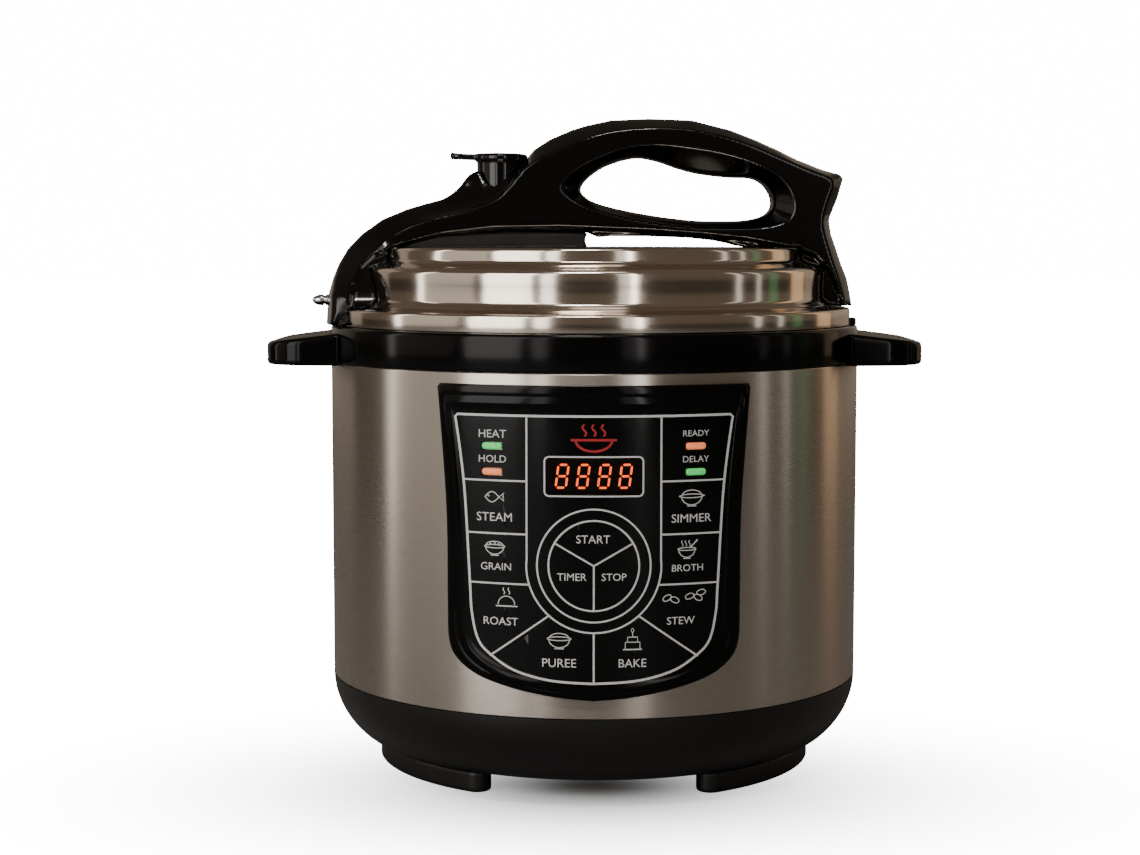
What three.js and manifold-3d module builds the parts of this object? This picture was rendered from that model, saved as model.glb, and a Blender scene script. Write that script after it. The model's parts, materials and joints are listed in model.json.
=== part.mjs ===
// An electric pressure cooker: a steel drum on a moulded base, a two-tier steel lid that turns to
// lock and lifts off, and a curved key panel on the front.
// Millimetres, +Z up. The front is -Y and the right side is +X. The origin is on the table, in the
// middle of the cooker's plan box.
import * as THREE from "three";
import { mergeVertices } from "three/addons/utils/BufferGeometryUtils.js";
import Module from "manifold-3d";

const wasm = await Module();
wasm.setup();

// ---- Driving dimensions ------------------------------------------------------------------------
const GAP = 0.3; // between pieces that touch
const ROUND = 36; // sides of a large turned piece
const FINE = 80; // sides of the turned bands that the panel is cut from
const SMALL = 20; // sides of a small turned piece

// drum, base and collar: most other sizes follow the first two
const DRUM_R = 136;
const COLLAR_BOTTOM = 206.7;
const COLLAR_TOP = COLLAR_BOTTOM + 17.9;
const COLLAR_WALL = 2.5;
const COLLAR_HOLE_R = DRUM_R - 9;
const COLLAR_BEVEL = 1;
const STOP_HALF = 6;
const STOP_TALL = 3.2;
const DRUM_WALL = 1;
const BASE_TOP = 45.2;
const BASE_BOTTOM_R = DRUM_R - 23;
const BASE_HOLE_R = BASE_BOTTOM_R - 13;
const BASE_WALL = 2.6;
const COVER_T = 2;
const COVER_SLOTS = 10;
const COVER_SLOT_W = 5;
const FOOT_H = 11;
const FOOT_OUT_R = DRUM_R - 24;
const FOOT_WIDE = 14;
const FOOT_ARC = 56;
const FOOT_AT = 57;

// ear handles
const EAR_REACH = DRUM_R + 30;
const EAR_HALF = 48;
const EAR_BOTTOM = COLLAR_BOTTOM - 1.8;
const EAR_TIP_TOP = EAR_BOTTOM + 9.6;
const EAR_ROOT_TOP = EAR_BOTTOM + 15.7;
const EAR_CORNER_R = 20;
const EAR_EDGE = 4; // reach of the bevel at the tip

// pots and what heats them
const POT_R = DRUM_R - 24.5;
const POT_WALL = 1.5;
const POT_TOP = COLLAR_BOTTOM - 2.7;
const POT_BOTTOM = 66;
const POT_RIM_R = POT_R + 6;
const POT_CORNER_R = 12;
const CASE_IN_R = DRUM_R - 17.5;
const CASE_WALL = 1.2;
const CASE_BOTTOM = 47;
const CASE_TOP = COLLAR_BOTTOM - 6.7;
const PLATE_R = POT_R - 19.5;
const PLATE_H = 9;
const PLATE_TOP = POT_BOTTOM - GAP;
const PLATE_BOTTOM = PLATE_TOP - PLATE_H;
const CASE_HOLE_R = PLATE_R - 30;
const SUPPORT_R = PLATE_R - 8;
const SUPPORT_WIDE = 6;
const SUPPORT_T = 2;
const SENSOR_R = 14;
const SENSOR_H = 14;
const SENSOR_STEM_R = SENSOR_R - 4;
const SENSOR_TOP = PLATE_TOP - GAP / 2;
const PLATE_BORE_R = SENSOR_R + 5;
const SEAT_FLOOR = 34;
const SEAT_T = 2;
const SPRING_WIRE = 1.2;
const SPRING_TURNS = 3;

// bayonet between the case and the lid
const LUGS = 6;
const LUG_ARC = 25;
const LUG_T = 2;
const LUG_BITE = 0.6; // how far a lug runs into its wall
const RING_R = DRUM_R - 9.5;
const RING_WALL = 2;
const RING_TOP = COLLAR_BOTTOM + 8.8;
const RING_LUG_IN_R = RING_R - 5;
const RIM_R = RING_R - 8.1;
const RIM_WALL = 1.6;
const RIM_BOTTOM = COLLAR_BOTTOM - 0.7;
const RIM_LUG_R = RING_R - 0.7;
const RIM_LUG_Z = RING_TOP - 6;

// lid
const LID_BOTTOM = COLLAR_TOP + GAP;
const LID_SHEET = 1.2;
const FLANGE_R = DRUM_R - 4.1;
const FLANGE_TOP = LID_BOTTOM + 5.4;
const MID_R = DRUM_R - 18.6;
const MID_BOTTOM = FLANGE_TOP + 5.1;
const MID_TOP = FLANGE_TOP + 20.9;
const TOP_R = MID_R - 10.7;
const TOP_BOTTOM = MID_TOP + 5;
const LID_TOP = MID_TOP + 11.6;
const LID_CROWN = 1.6;
const LID_CLEAR = 0.5;
const INNER_COVER_Z = COLLAR_BOTTOM + 12.3;
const INNER_COVER_T = 1.2;
const SEAL_IN_R = RIM_R - 11.4;
const SEAL_SLACK = 0.8; // between the seal and the rim that turns round it
const SEAL_BOTTOM = POT_TOP + 0.4;
const SEAL_LIP = 3;
const SEAL_WEB = 4;

// lid handle
const HANDLE_HALF = 21;
const LEG_BOTTOM = COLLAR_TOP + 0.4;
const LEG_OUT_X = DRUM_R + 2.4;
const LEG_SHOULDER = 33; // height of the flared part of the left leg
const LEG_IN_X = TOP_R - 2;
const RIGHT_LEG_BOTTOM = LID_BOTTOM + 10.3;
const RIGHT_LEG_OUT_X = DRUM_R - 2.9;
const RIGHT_LEG_IN_X = MID_R - 12;
const ARCH_TOP = LID_TOP + 67.1;
const ARCH_TOP_X = 30;
const BEAK_X = DRUM_R - 8.1;
const BEAK_Z = LID_TOP + 36.4;
const WAIST_X = BEAK_X - 6.9;
const WAIST_Z = BEAK_Z - 22.2;
const BRIDGE_X = -3; // left end of the gap under the bridge
const BRIDGE_Z = LID_TOP + 7.2;
const FLARE_HALF = 50;
const FLARE_TOP_HALF = 31;
const BASE_PIECE_HALF = HANDLE_HALF - 3;

// exhaust valve, float pin and lock pin
const VALVE_X = -48;
const VALVE_R = 11.8;
const VALVE_FOOT = LID_TOP + 21.2;
const VALVE_TOP = VALVE_FOOT + 28;
const VALVE_CAP_R = VALVE_R + 1.2;
const VALVE_CAP_T = 3;
const LEVER_TIP_X = -74.4;
const LEVER_W = 9;
const POCKET_R = VALVE_R + 2.4;
const POCKET_FLOOR = VALVE_FOOT - 2;
const PIPE_R = 5;
const PIPE_BORE_R = 2;
const PIPE_NUT_R = 9;
const PIPE_NUT_H = 4;
const PIPE_TOP = VALVE_FOOT + 12;
const PIPE_BOTTOM = INNER_COVER_Z - 6;
const SHIELD_R = PIPE_R + 5;
const SHIELD_H = 9;
const FLOAT_X = -84;
const FLOAT_R = 3;
const FLOAT_BOTTOM = INNER_COVER_Z - 7;
const FLOAT_TOP = LID_TOP + 5.2;
const FLOAT_TRAVEL = 5;
const LOCK_Z = LID_BOTTOM + 11.9;
const LOCK_R = 3;
const LOCK_TIP_X = -LEG_OUT_X - 8.5;
const LOCK_TRAVEL = 4;
const LOCK_SHAFT_R = 1.6;
const LOCK_FLANGE_R = LOCK_R + 1.6;
const LOCK_FLANGE_T = 1.5;
const LOCK_WIRE = 0.7;
const LOCK_END_X = MID_R + 4; // inner end of the lock bore
const LOCK_SEAT_X = LEG_OUT_X - 4.4; // where the wide bore of the spring ends

// panel
const BEZEL_R = DRUM_R + 3.6;
const BEZEL_IN_R = DRUM_R + GAP;
const LEDGE_R = DRUM_R + 1;
const LEDGE_INSET = 3;
const FILM_R = DRUM_R + 3;
const FILM_T = 1.6;
const KEY_T = 1.3;
const KEY_TRAVEL = 0.4;
const KEY_GAP = 0.3;
const WEB = 1.2; // strip of film between two keys
const COLUMN_X = 31.1;
const ROW_Z = [157, 132.2, 108.9];
const SLANT_FROM = [20.9, 93.3];
const SLANT_TO = [47.4, 74];
const DIAL_Z = 118.1;
const DIAL_OUT_R = 31.4;
const DIAL_KEY_R = 21.1;
const DIAL_STEM_R = 12;
const STEM_W = 3;
const STEM_BITE = 0.5; // how far a stem runs into its key plate
const WINDOW = { x0: -22.4, x1: 22.4, z0: 150.8, z1: 168.2 };
const LAMP_W = 9.2;
const LAMP_H = 3;
const LAMP_T = 2;
const LAMP_X = 47.3;
const LAMP_HIGH_Z = 173;
const LAMP_LOW_Z = 161;
const BOARD_Y = 13.5 - DRUM_R;
const BOARD_T = 1.6;
const BOARD_HALF = 44;
const BOARD_BOTTOM = 78;
const BOARD_TOP = 180;
const MODULE_DEEP = 9;
const MODULE_HALF_H = 7;

// power board and pressure switch, in the base
const POWER_BOARD = { x0: 18, x1: 84, half: 40, z: FOOT_H + BASE_WALL + 6 };
const RELAY = { x0: 30, x1: 48, y0: -30, y1: -10, tall: 14.4 };
const CAPACITOR = { x: 66, y: 18, r: 7, tall: 18.4 };
const SWITCH = { x0: -52, x1: -30, half: 9, tall: 12, plungerR: 2.5, plungerTall: 2 };

// rear
const CUP_HALF = 19;
const CUP_DEEP = 20;
const CUP_TOP = COLLAR_BOTTOM - 3.7;
const CUP_BOTTOM = CUP_TOP - 45;
const CUP_WALL = 1.6;
const CUP_CORNER_R = 6;
const CUP_BRACKET_T = 3;
const RAIL_HALF = CUP_HALF - 6;
const RAIL_HEAD = 2.5; // overhang of the rail's head on each side
const RAIL_HEAD_T = 1.6;
const RAIL_BOTTOM = CUP_BOTTOM + 8;
const RAIL_TOP = CUP_TOP - 2;
const RAIL_SLACK = 0.4;
const CUP_STOP_T = 1.4; // web that closes the groove at the top and rests on the rail
const INLET_X = -45;
const INLET_Z = 66;
const INLET_W = 32;
const INLET_H = 26;
const INLET_DEEP = 18.5;
const INLET_FRAME = 4;
const INLET_WALL = 3;
const INLET_FLOOR = 4;
const INLET_OUT_Y = DRUM_R + 1.5;
const PIN_HALF_W = 1;
const PIN_HALF_H = 2;
const PINS = [[-7, -2], [7, -2], [0, 3]];

// ---- Shape helpers -----------------------------------------------------------------------------
const RAD = Math.PI / 180;
const FAR = 400; // longer than any piece, for cuts that go right through

function solid(geometry) {
  const bare = geometry.index ? geometry.toNonIndexed() : geometry.clone();
  bare.deleteAttribute("normal");
  bare.deleteAttribute("uv");
  const merged = mergeVertices(bare, 1e-4);
  return new wasm.Manifold(
    new wasm.Mesh({
      numProp: 3,
      vertProperties: merged.attributes.position.array,
      triVerts: new Uint32Array(merged.index.array),
    }),
  );
}

function geometryOf(made) {
  const mesh = made.getMesh();
  const geometry = new THREE.BufferGeometry();
  geometry.setAttribute("position", new THREE.BufferAttribute(mesh.vertProperties, 3));
  geometry.setIndex(new THREE.BufferAttribute(mesh.triVerts, 1));
  return geometry.toNonIndexed();
}

function shape(points) {
  return new THREE.Shape(points.map(([x, y]) => new THREE.Vector2(x, y)));
}

// A profile of [radius, z] points, counter-clockwise, turned about Z.
function turned(points, sides = ROUND) {
  const closed = [...points, points[0]].map(([r, z]) => new THREE.Vector2(r, z));
  const geometry = new THREE.LatheGeometry(closed, sides);
  geometry.rotateX(Math.PI / 2);
  return solid(geometry);
}

function ring(inR, outR, z0, z1, sides = ROUND) {
  return turned([[inR, z0], [outR, z0], [outR, z1], [inR, z1]], sides);
}

function disc(r, z0, z1, sides = ROUND) {
  return turned([[0, z0], [r, z0], [r, z1], [0, z1]], sides);
}

function box(x0, x1, y0, y1, z0, z1) {
  const geometry = new THREE.BoxGeometry(x1 - x0, y1 - y0, z1 - z0);
  geometry.translate((x0 + x1) / 2, (y0 + y1) / 2, (z0 + z1) / 2);
  return solid(geometry);
}

// A plan outline in XY, raised from z0 to z1.
function raised(outline, z0, z1) {
  const geometry = new THREE.ExtrudeGeometry(outline, { depth: z1 - z0, bevelEnabled: false });
  geometry.translate(0, 0, z0);
  return solid(geometry);
}

// A front outline in XZ, run from y0 to y1.
function fronted(outline, y0, y1) {
  const geometry = new THREE.ExtrudeGeometry(outline, { depth: y1 - y0, bevelEnabled: false });
  geometry.rotateX(Math.PI / 2);
  geometry.translate(0, y1, 0);
  return solid(geometry);
}

// The part of a turned wall, inR to outR, that lies in front of the pot behind a front outline.
function onWall(outline, inR, outR) {
  const band = ring(inR, outR, 0, COLLAR_TOP, FINE);
  return band.intersect(fronted(outline, -FAR, -DRUM_R / 4));
}

function smooth(points, steps) {
  const curve = new THREE.SplineCurve(points.map(([x, y]) => new THREE.Vector2(x, y)));
  return curve.getPoints(steps).map((p) => [p.x, p.y]);
}

function arc(x, y, r, from, to, steps) {
  return Array.from({ length: steps + 1 }, (_, i) => {
    const a = (from + ((to - from) * i) / steps) * RAD;
    return [x + r * Math.cos(a), y + r * Math.sin(a)];
  });
}

// A coil about Z, as one tube.
function coil(r, wire, z0, z1, turns) {
  class Helix extends THREE.Curve {
    getPoint(t, target = new THREE.Vector3()) {
      const a = t * turns * 2 * Math.PI;
      return target.set(r * Math.cos(a), r * Math.sin(a), z0 + wire / 2 + t * (z1 - z0 - wire));
    }
  }
  const section = shape(arc(0, 0, wire / 2, 0, 300, 5));
  const options = { steps: turns * 10, extrudePath: new Helix(), bevelEnabled: false };
  return solid(new THREE.ExtrudeGeometry(section, options));
}

// ---- The scene graph ---------------------------------------------------------------------------
const cooker = new THREE.Group();

const LOOKS = {
  blackGloss: { color: 0x0b0b0c, roughness: 0.18, metalness: 0 },
  blackMatt: { color: 0x1c1a19, roughness: 0.6, metalness: 0 },
  blackSatin: { color: 0x141313, roughness: 0.4, metalness: 0 },
  steel: { color: 0xb9afa6, roughness: 0.3, metalness: 1 },
  steelDark: { color: 0x8b8680, roughness: 0.45, metalness: 1 },
  chrome: { color: 0xd8d8d8, roughness: 0.08, metalness: 1 },
  aluminium: { color: 0xc4c6c8, roughness: 0.4, metalness: 1 },
  brass: { color: 0xb08d4a, roughness: 0.35, metalness: 1 },
  film: { color: 0x0e0e10, roughness: 0.25, metalness: 0 },
  silicone: { color: 0xd9d6cf, roughness: 0.6, metalness: 0 },
  board: { color: 0x1d5c38, roughness: 0.5, metalness: 0 },
  smoke: { color: 0x160606, roughness: 0.1, metalness: 0 },
  lampGreen: { color: 0x39d353, roughness: 0.3, metalness: 0 },
  lampOrange: { color: 0xff7a2a, roughness: 0.3, metalness: 0 },
};

function add(name, made, look) {
  const mesh = new THREE.Mesh(geometryOf(made), new THREE.MeshStandardMaterial(LOOKS[look]));
  mesh.name = name;
  cooker.add(mesh);
  return mesh;
}

// ---- Base --------------------------------------------------------------------------------------
// The bowl is a quarter ellipse from the flat bottom up to the drum.
function bowlCurve(inset, steps) {
  const wide = DRUM_R - BASE_BOTTOM_R;
  const tall = BASE_TOP - FOOT_H;
  return Array.from({ length: steps + 1 }, (_, i) => {
    const a = (Math.PI / 2) * (1 - i / steps);
    return [BASE_BOTTOM_R + (wide - inset) * Math.cos(a), BASE_TOP - (tall - inset) * Math.sin(a)];
  });
}

function baseHousing() {
  const outside = bowlCurve(0, 5);
  const inside = bowlCurve(BASE_WALL, 5).reverse();
  return turned([
    [BASE_HOLE_R, FOOT_H],
    ...outside,
    ...inside,
    [BASE_HOLE_R, FOOT_H + BASE_WALL],
  ]);
}

function bottomCover() {
  const half = COVER_SLOT_W / 2;
  const slot = box(BASE_HOLE_R * 0.45, BASE_HOLE_R * 0.85, -half, half, 0, FAR);
  let cover = disc(BASE_HOLE_R - GAP, FOOT_H, FOOT_H + COVER_T);
  for (let i = 0; i < COVER_SLOTS; i++) {
    cover = cover.subtract(slot.rotate([0, 0, (360 / COVER_SLOTS) * (i + 0.5)]));
  }
  return cover;
}

// A foot is a stretch of ring with round ends.
function foot(at) {
  const middle = FOOT_OUT_R - FOOT_WIDE / 2;
  const half = FOOT_WIDE / 2;
  const trim = half / middle / RAD;
  const from = at - FOOT_ARC / 2 + trim;
  const to = at + FOOT_ARC / 2 - trim;
  const end = (a) => [middle * Math.cos(a * RAD), middle * Math.sin(a * RAD)];
  const outline = shape([
    ...arc(0, 0, middle + half, from, to, 8),
    ...arc(...end(to), half, to + 30, to + 150, 4),
    ...arc(0, 0, middle - half, to, from, 8),
    ...arc(...end(from), half, from + 210, from + 330, 4),
  ]);
  return raised(outline, 0, FOOT_H - GAP);
}

// ---- Drum and collar ---------------------------------------------------------------------------
function inletOutline(grow) {
  const w = INLET_W / 2 + grow;
  const h = INLET_H / 2 + grow;
  return shape([
    [INLET_X - w, INLET_Z - h],
    [INLET_X + w, INLET_Z - h],
    [INLET_X + w, INLET_Z + h],
    [INLET_X - w, INLET_Z + h],
  ]);
}

function outerShell() {
  const drum = ring(DRUM_R - DRUM_WALL, DRUM_R, BASE_TOP + GAP, COLLAR_BOTTOM - GAP, FINE);
  const panelHole = fronted(shape(filmPoints(LEDGE_INSET)), -FAR, -DRUM_R / 4);
  const inletHole = fronted(inletOutline(GAP), DRUM_R / 4, FAR);
  return drum.subtract(panelHole).subtract(inletHole);
}

function topCollar() {
  const lip = RING_TOP + 1;
  const lipT = 1.5;
  const collar = turned([
    [DRUM_R - COLLAR_WALL, COLLAR_BOTTOM],
    [DRUM_R, COLLAR_BOTTOM],
    [DRUM_R, COLLAR_TOP - COLLAR_BEVEL],
    [DRUM_R - COLLAR_BEVEL, COLLAR_TOP],
    [COLLAR_HOLE_R, COLLAR_TOP],
    [COLLAR_HOLE_R, lip],
    [COLLAR_HOLE_R + lipT, lip],
    [COLLAR_HOLE_R + lipT, COLLAR_TOP - COLLAR_WALL],
    [DRUM_R - COLLAR_WALL, COLLAR_TOP - COLLAR_WALL],
  ]);
  const stop = ring(FLANGE_R + 1, DRUM_R - 0.2, COLLAR_TOP - 1.5, COLLAR_TOP + STOP_TALL);
  return collar.add(stop.intersect(box(0, FAR, -STOP_HALF, STOP_HALF, 0, FAR)));
}

function ear(side) {
  const tip = EAR_REACH;
  const r = EAR_CORNER_R;
  const root = DRUM_R - r; // inside the drum, which cuts the ear off
  const plan = shape([
    [root, -EAR_HALF],
    ...arc(tip - r, -EAR_HALF + r, r, -80, 0, 6),
    ...arc(tip - r, EAR_HALF - r, r, 0, 80, 6),
    [root, EAR_HALF],
  ]);
  const height = shape([
    [root, EAR_BOTTOM],
    [tip + 1, EAR_BOTTOM],
    [tip + 1, EAR_TIP_TOP],
    [tip - EAR_EDGE, EAR_TIP_TOP + EAR_EDGE * 0.4],
    [DRUM_R - EAR_EDGE, EAR_ROOT_TOP],
    [root, EAR_ROOT_TOP],
  ]);
  const block = raised(plan, EAR_BOTTOM - 1, EAR_ROOT_TOP + 1).intersect(
    fronted(height, -FAR, FAR),
  );
  const body = block.subtract(disc(DRUM_R + GAP, 0, FAR, FINE));
  return side > 0 ? body : body.rotate([0, 0, 180]);
}

// ---- Pots, heater and sensor -------------------------------------------------------------------
function lugRing(r, outR, z, first) {
  const lugs = [];
  for (let i = 0; i < LUGS; i++) {
    const at = first + (i * 360) / LUGS;
    const outline = shape([
      ...arc(0, 0, outR, at - LUG_ARC / 2, at + LUG_ARC / 2, 5),
      ...arc(0, 0, r, at + LUG_ARC / 2, at - LUG_ARC / 2, 5),
    ]);
    lugs.push(raised(outline, z, z + LUG_T));
  }
  return lugs;
}

function lockingRing() {
  let made = ring(RING_R, RING_R + RING_WALL, CASE_TOP + GAP, RING_TOP);
  for (const lug of lugRing(RING_LUG_IN_R, RING_R + LUG_BITE, RING_TOP - LUG_T, 0)) {
    made = made.add(lug);
  }
  return made;
}

function outerPot() {
  const inR = CASE_IN_R;
  const outR = CASE_IN_R + CASE_WALL;
  return turned([
    [CASE_HOLE_R, CASE_BOTTOM],
    [outR, CASE_BOTTOM],
    [outR, CASE_TOP - CASE_WALL],
    [RING_R + RING_WALL, CASE_TOP - CASE_WALL],
    [RING_R + RING_WALL, CASE_TOP],
    [inR, CASE_TOP],
    [inR, CASE_BOTTOM + CASE_WALL],
    [CASE_HOLE_R, CASE_BOTTOM + CASE_WALL],
  ]);
}

function innerPot() {
  const r = POT_CORNER_R;
  const turn = [0, 30, 60, 90];
  const outside = turn.map((a) => [
    POT_R - r + r * Math.sin(a * RAD),
    POT_BOTTOM + r - r * Math.cos(a * RAD),
  ]);
  const inside = turn.map((a) => [
    POT_R - r + (r - POT_WALL) * Math.sin(a * RAD),
    POT_BOTTOM + r - (r - POT_WALL) * Math.cos(a * RAD),
  ]);
  return turned([
    [0, POT_BOTTOM],
    ...outside,
    [POT_R, POT_TOP - POT_WALL],
    [POT_RIM_R, POT_TOP - POT_WALL],
    [POT_RIM_R, POT_TOP],
    [POT_R - POT_WALL, POT_TOP],
    ...inside.reverse(),
    [0, POT_BOTTOM + POT_WALL],
  ]);
}

function heatingPlate() {
  return turned([
    [PLATE_BORE_R, PLATE_BOTTOM],
    [PLATE_R - 6, PLATE_BOTTOM],
    [PLATE_R, PLATE_BOTTOM + 3],
    [PLATE_R, PLATE_TOP - 1.5],
    [PLATE_R - 2, PLATE_TOP],
    [PLATE_BORE_R, PLATE_TOP],
  ]);
}

// A pressed steel ring that carries the plate on the case bottom and gives a little under pressure.
function plateSupport() {
  const foot = CASE_BOTTOM + CASE_WALL + GAP;
  return turned([
    [CASE_HOLE_R + SUPPORT_T, foot],
    [SUPPORT_R, foot],
    [SUPPORT_R, PLATE_BOTTOM - GAP],
    [SUPPORT_R - SUPPORT_WIDE, PLATE_BOTTOM - GAP],
    [SUPPORT_R - SUPPORT_WIDE, foot + SUPPORT_T],
    [CASE_HOLE_R + SUPPORT_T, foot + SUPPORT_T],
  ]);
}

// The sensor can has a skirt that stops under the plate, and a stem that its spring sits on.
function temperatureSensor() {
  const skirt = SENSOR_TOP - 10;
  return turned([
    [0, SENSOR_TOP - SENSOR_H],
    [SENSOR_STEM_R, SENSOR_TOP - SENSOR_H],
    [SENSOR_STEM_R, skirt],
    [SENSOR_R, skirt],
    [SENSOR_R, SENSOR_TOP - 1],
    [SENSOR_R - 1, SENSOR_TOP],
    [0, SENSOR_TOP],
  ], SMALL);
}

function sensorSeat() {
  const inR = PLATE_BORE_R - 1;
  const outR = PLATE_BORE_R + 3;
  return turned([
    [0, SEAT_FLOOR],
    [outR, SEAT_FLOOR],
    [outR, PLATE_BOTTOM - GAP],
    [inR, PLATE_BOTTOM - GAP],
    [inR, SEAT_FLOOR + SEAT_T],
    [0, SEAT_FLOOR + SEAT_T],
  ], SMALL);
}

function sensorSpring() {
  const floor = SEAT_FLOOR + SEAT_T + GAP;
  const r = SENSOR_STEM_R - 2;
  return coil(r, SPRING_WIRE, floor, SENSOR_TOP - SENSOR_H - GAP, SPRING_TURNS);
}

// ---- Lid ---------------------------------------------------------------------------------------
// Outside of the lid sheet, from the flange edge in to the crown.
function lidOutside() {
  const groove1 = (FLANGE_TOP + MID_BOTTOM) / 2;
  const groove2 = (MID_TOP + TOP_BOTTOM) / 2;
  const crown = (r) => LID_TOP + LID_CROWN * (1 - (r / TOP_R) ** 2);
  return [
    [FLANGE_R, LID_BOTTOM],
    [FLANGE_R, FLANGE_TOP],
    [MID_R + 2.4, groove1],
    [MID_R + 0.8, MID_BOTTOM],
    [MID_R, MID_TOP - 2.2],
    [MID_R - 1.6, MID_TOP],
    [TOP_R + 1.6, groove2],
    [TOP_R, TOP_BOTTOM + 1],
    [TOP_R, LID_TOP - 1.4],
    [TOP_R - 1.8, LID_TOP],
    [TOP_R / 2, crown(TOP_R / 2)],
    [0, LID_TOP + LID_CROWN],
  ];
}

// The same run of points moved by t to the left of its direction, at its own corners.
function moved(points, t) {
  return points.map(([r, z], i) => {
    const before = points[Math.max(i - 1, 0)];
    const after = points[Math.min(i + 1, points.length - 1)];
    const dr = after[0] - before[0];
    const dz = after[1] - before[1];
    const length = Math.hypot(dr, dz);
    const outR = r - (t * dz) / length;
    return [i === points.length - 1 ? 0 : outR, z + (t * dr) / length];
  });
}

function lidShell() {
  const outside = lidOutside();
  const inside = moved(outside, LID_SHEET).reverse();
  let made = turned([...outside, ...inside]);
  made = made.subtract(disc(PIPE_R + GAP, 0, FAR, SMALL).translate([VALVE_X, 0, 0]));
  return made.subtract(disc(FLOAT_R + GAP, 0, FAR, SMALL).translate([FLOAT_X, 0, 0]));
}

// The space that the lid needs, for what is fitted over it.
function lidRoom() {
  const outside = moved(lidOutside(), -LID_CLEAR);
  return turned([[0, 0], [outside[0][0], 0], ...outside]);
}

function lidRim() {
  const top = FLANGE_TOP - LID_SHEET - 3 * GAP;
  let made = ring(RIM_R, RIM_R + RIM_WALL, RIM_BOTTOM, top);
  const root = RIM_R + RIM_WALL - LUG_BITE;
  for (const lug of lugRing(root, RIM_LUG_R, RIM_LUG_Z, 180 / LUGS)) {
    made = made.add(lug);
  }
  return made;
}

function innerCover() {
  let made = disc(RIM_R - GAP, INNER_COVER_Z, INNER_COVER_Z + INNER_COVER_T);
  made = made.subtract(disc(PIPE_R + GAP, 0, FAR, SMALL).translate([VALVE_X, 0, 0]));
  return made.subtract(disc(FLOAT_R + GAP, 0, FAR, SMALL).translate([FLOAT_X, 0, 0]));
}

// A silicone ring, open below like a channel, that closes on the pot rim.
function sealingRing() {
  const outR = RIM_R - SEAL_SLACK;
  const top = INNER_COVER_Z - GAP;
  return turned([
    [SEAL_IN_R, SEAL_BOTTOM + SEAL_LIP],
    [SEAL_IN_R + SEAL_LIP, SEAL_BOTTOM],
    [SEAL_IN_R + SEAL_LIP, top - SEAL_WEB],
    [outR - SEAL_LIP, top - SEAL_WEB],
    [outR - SEAL_LIP, SEAL_BOTTOM],
    [outR, SEAL_BOTTOM + 1],
    [outR, top],
    [SEAL_IN_R, top],
  ]);
}

// ---- Lid handle --------------------------------------------------------------------------------
// Side view of the handle. It starts at the foot of the left leg and runs over the top to the right.
function handleOutline() {
  const leftLeg = smooth([
    [-LEG_OUT_X, LEG_BOTTOM],
    [-LEG_OUT_X + 1, LEG_BOTTOM + 15],
    [-LEG_OUT_X + 8, LEG_BOTTOM + LEG_SHOULDER],
    [-LEG_OUT_X + 29, LEG_BOTTOM + 53.5],
    [VALVE_X - 30, VALVE_FOOT + 4.7],
    [VALVE_X - POCKET_R - 1, VALVE_TOP - 10],
  ], 16);
  const pocketRim = [
    [VALVE_X - POCKET_R, VALVE_TOP - 8.5],
    [VALVE_X + POCKET_R, VALVE_TOP - 1.5],
  ];
  const arch = smooth([
    [VALVE_X + POCKET_R + 2.8, VALVE_TOP + 2],
    [-11.7, ARCH_TOP - 5.8],
    [ARCH_TOP_X, ARCH_TOP],
    [70, ARCH_TOP - 5.8],
    [BEAK_X - 23.5, ARCH_TOP - 21],
    [BEAK_X - 6, BEAK_Z + 2.6],
  ], 16);
  const rightLeg = smooth([
    [BEAK_X, BEAK_Z],
    [BEAK_X - 3.4, BEAK_Z - 11],
    [WAIST_X, WAIST_Z],
    [WAIST_X + 6.3, WAIST_Z - 21.4],
    [RIGHT_LEG_OUT_X, RIGHT_LEG_BOTTOM],
  ], 10);
  const under = [
    [RIGHT_LEG_IN_X, RIGHT_LEG_BOTTOM],
    [RIGHT_LEG_IN_X, LID_TOP + LID_CROWN - 1],
    [82, LID_TOP + LID_CROWN],
    [62, LID_TOP + LID_CROWN + 3.6],
    [38, BRIDGE_Z - 0.4],
    [BRIDGE_X, BRIDGE_Z],
    ...baseTop().reverse(),
    [-LEG_IN_X, LEG_BOTTOM],
  ];
  return shape([...leftLeg, ...pocketRim, ...arch, ...rightLeg, ...under].reverse());
}

// The top of the handle base, which is the underside of the handle above it.
function baseTop() {
  return [
    [-LEG_IN_X, LID_TOP - 0.8],
    [-78.5, LID_TOP + 6.5],
    [-46, LID_TOP + 8.7],
    [BRIDGE_X - 1, LID_TOP + 9],
  ];
}

function gripHole() {
  const above = [ // x and height over the lid
    [-6.6, 29.4],
    [-2, 38],
    [23.4, 47.1],
    [54, 39.1],
    [80.5, 36.7],
    [91.5, 25.4],
    [77.6, 15.2],
    [49, 15.2],
    [10.7, 21.3],
    [-6.6, 29.4],
  ];
  return shape(smooth(above.map(([x, z]) => [x, LID_TOP + z]), 28).slice(0, -1));
}

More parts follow.
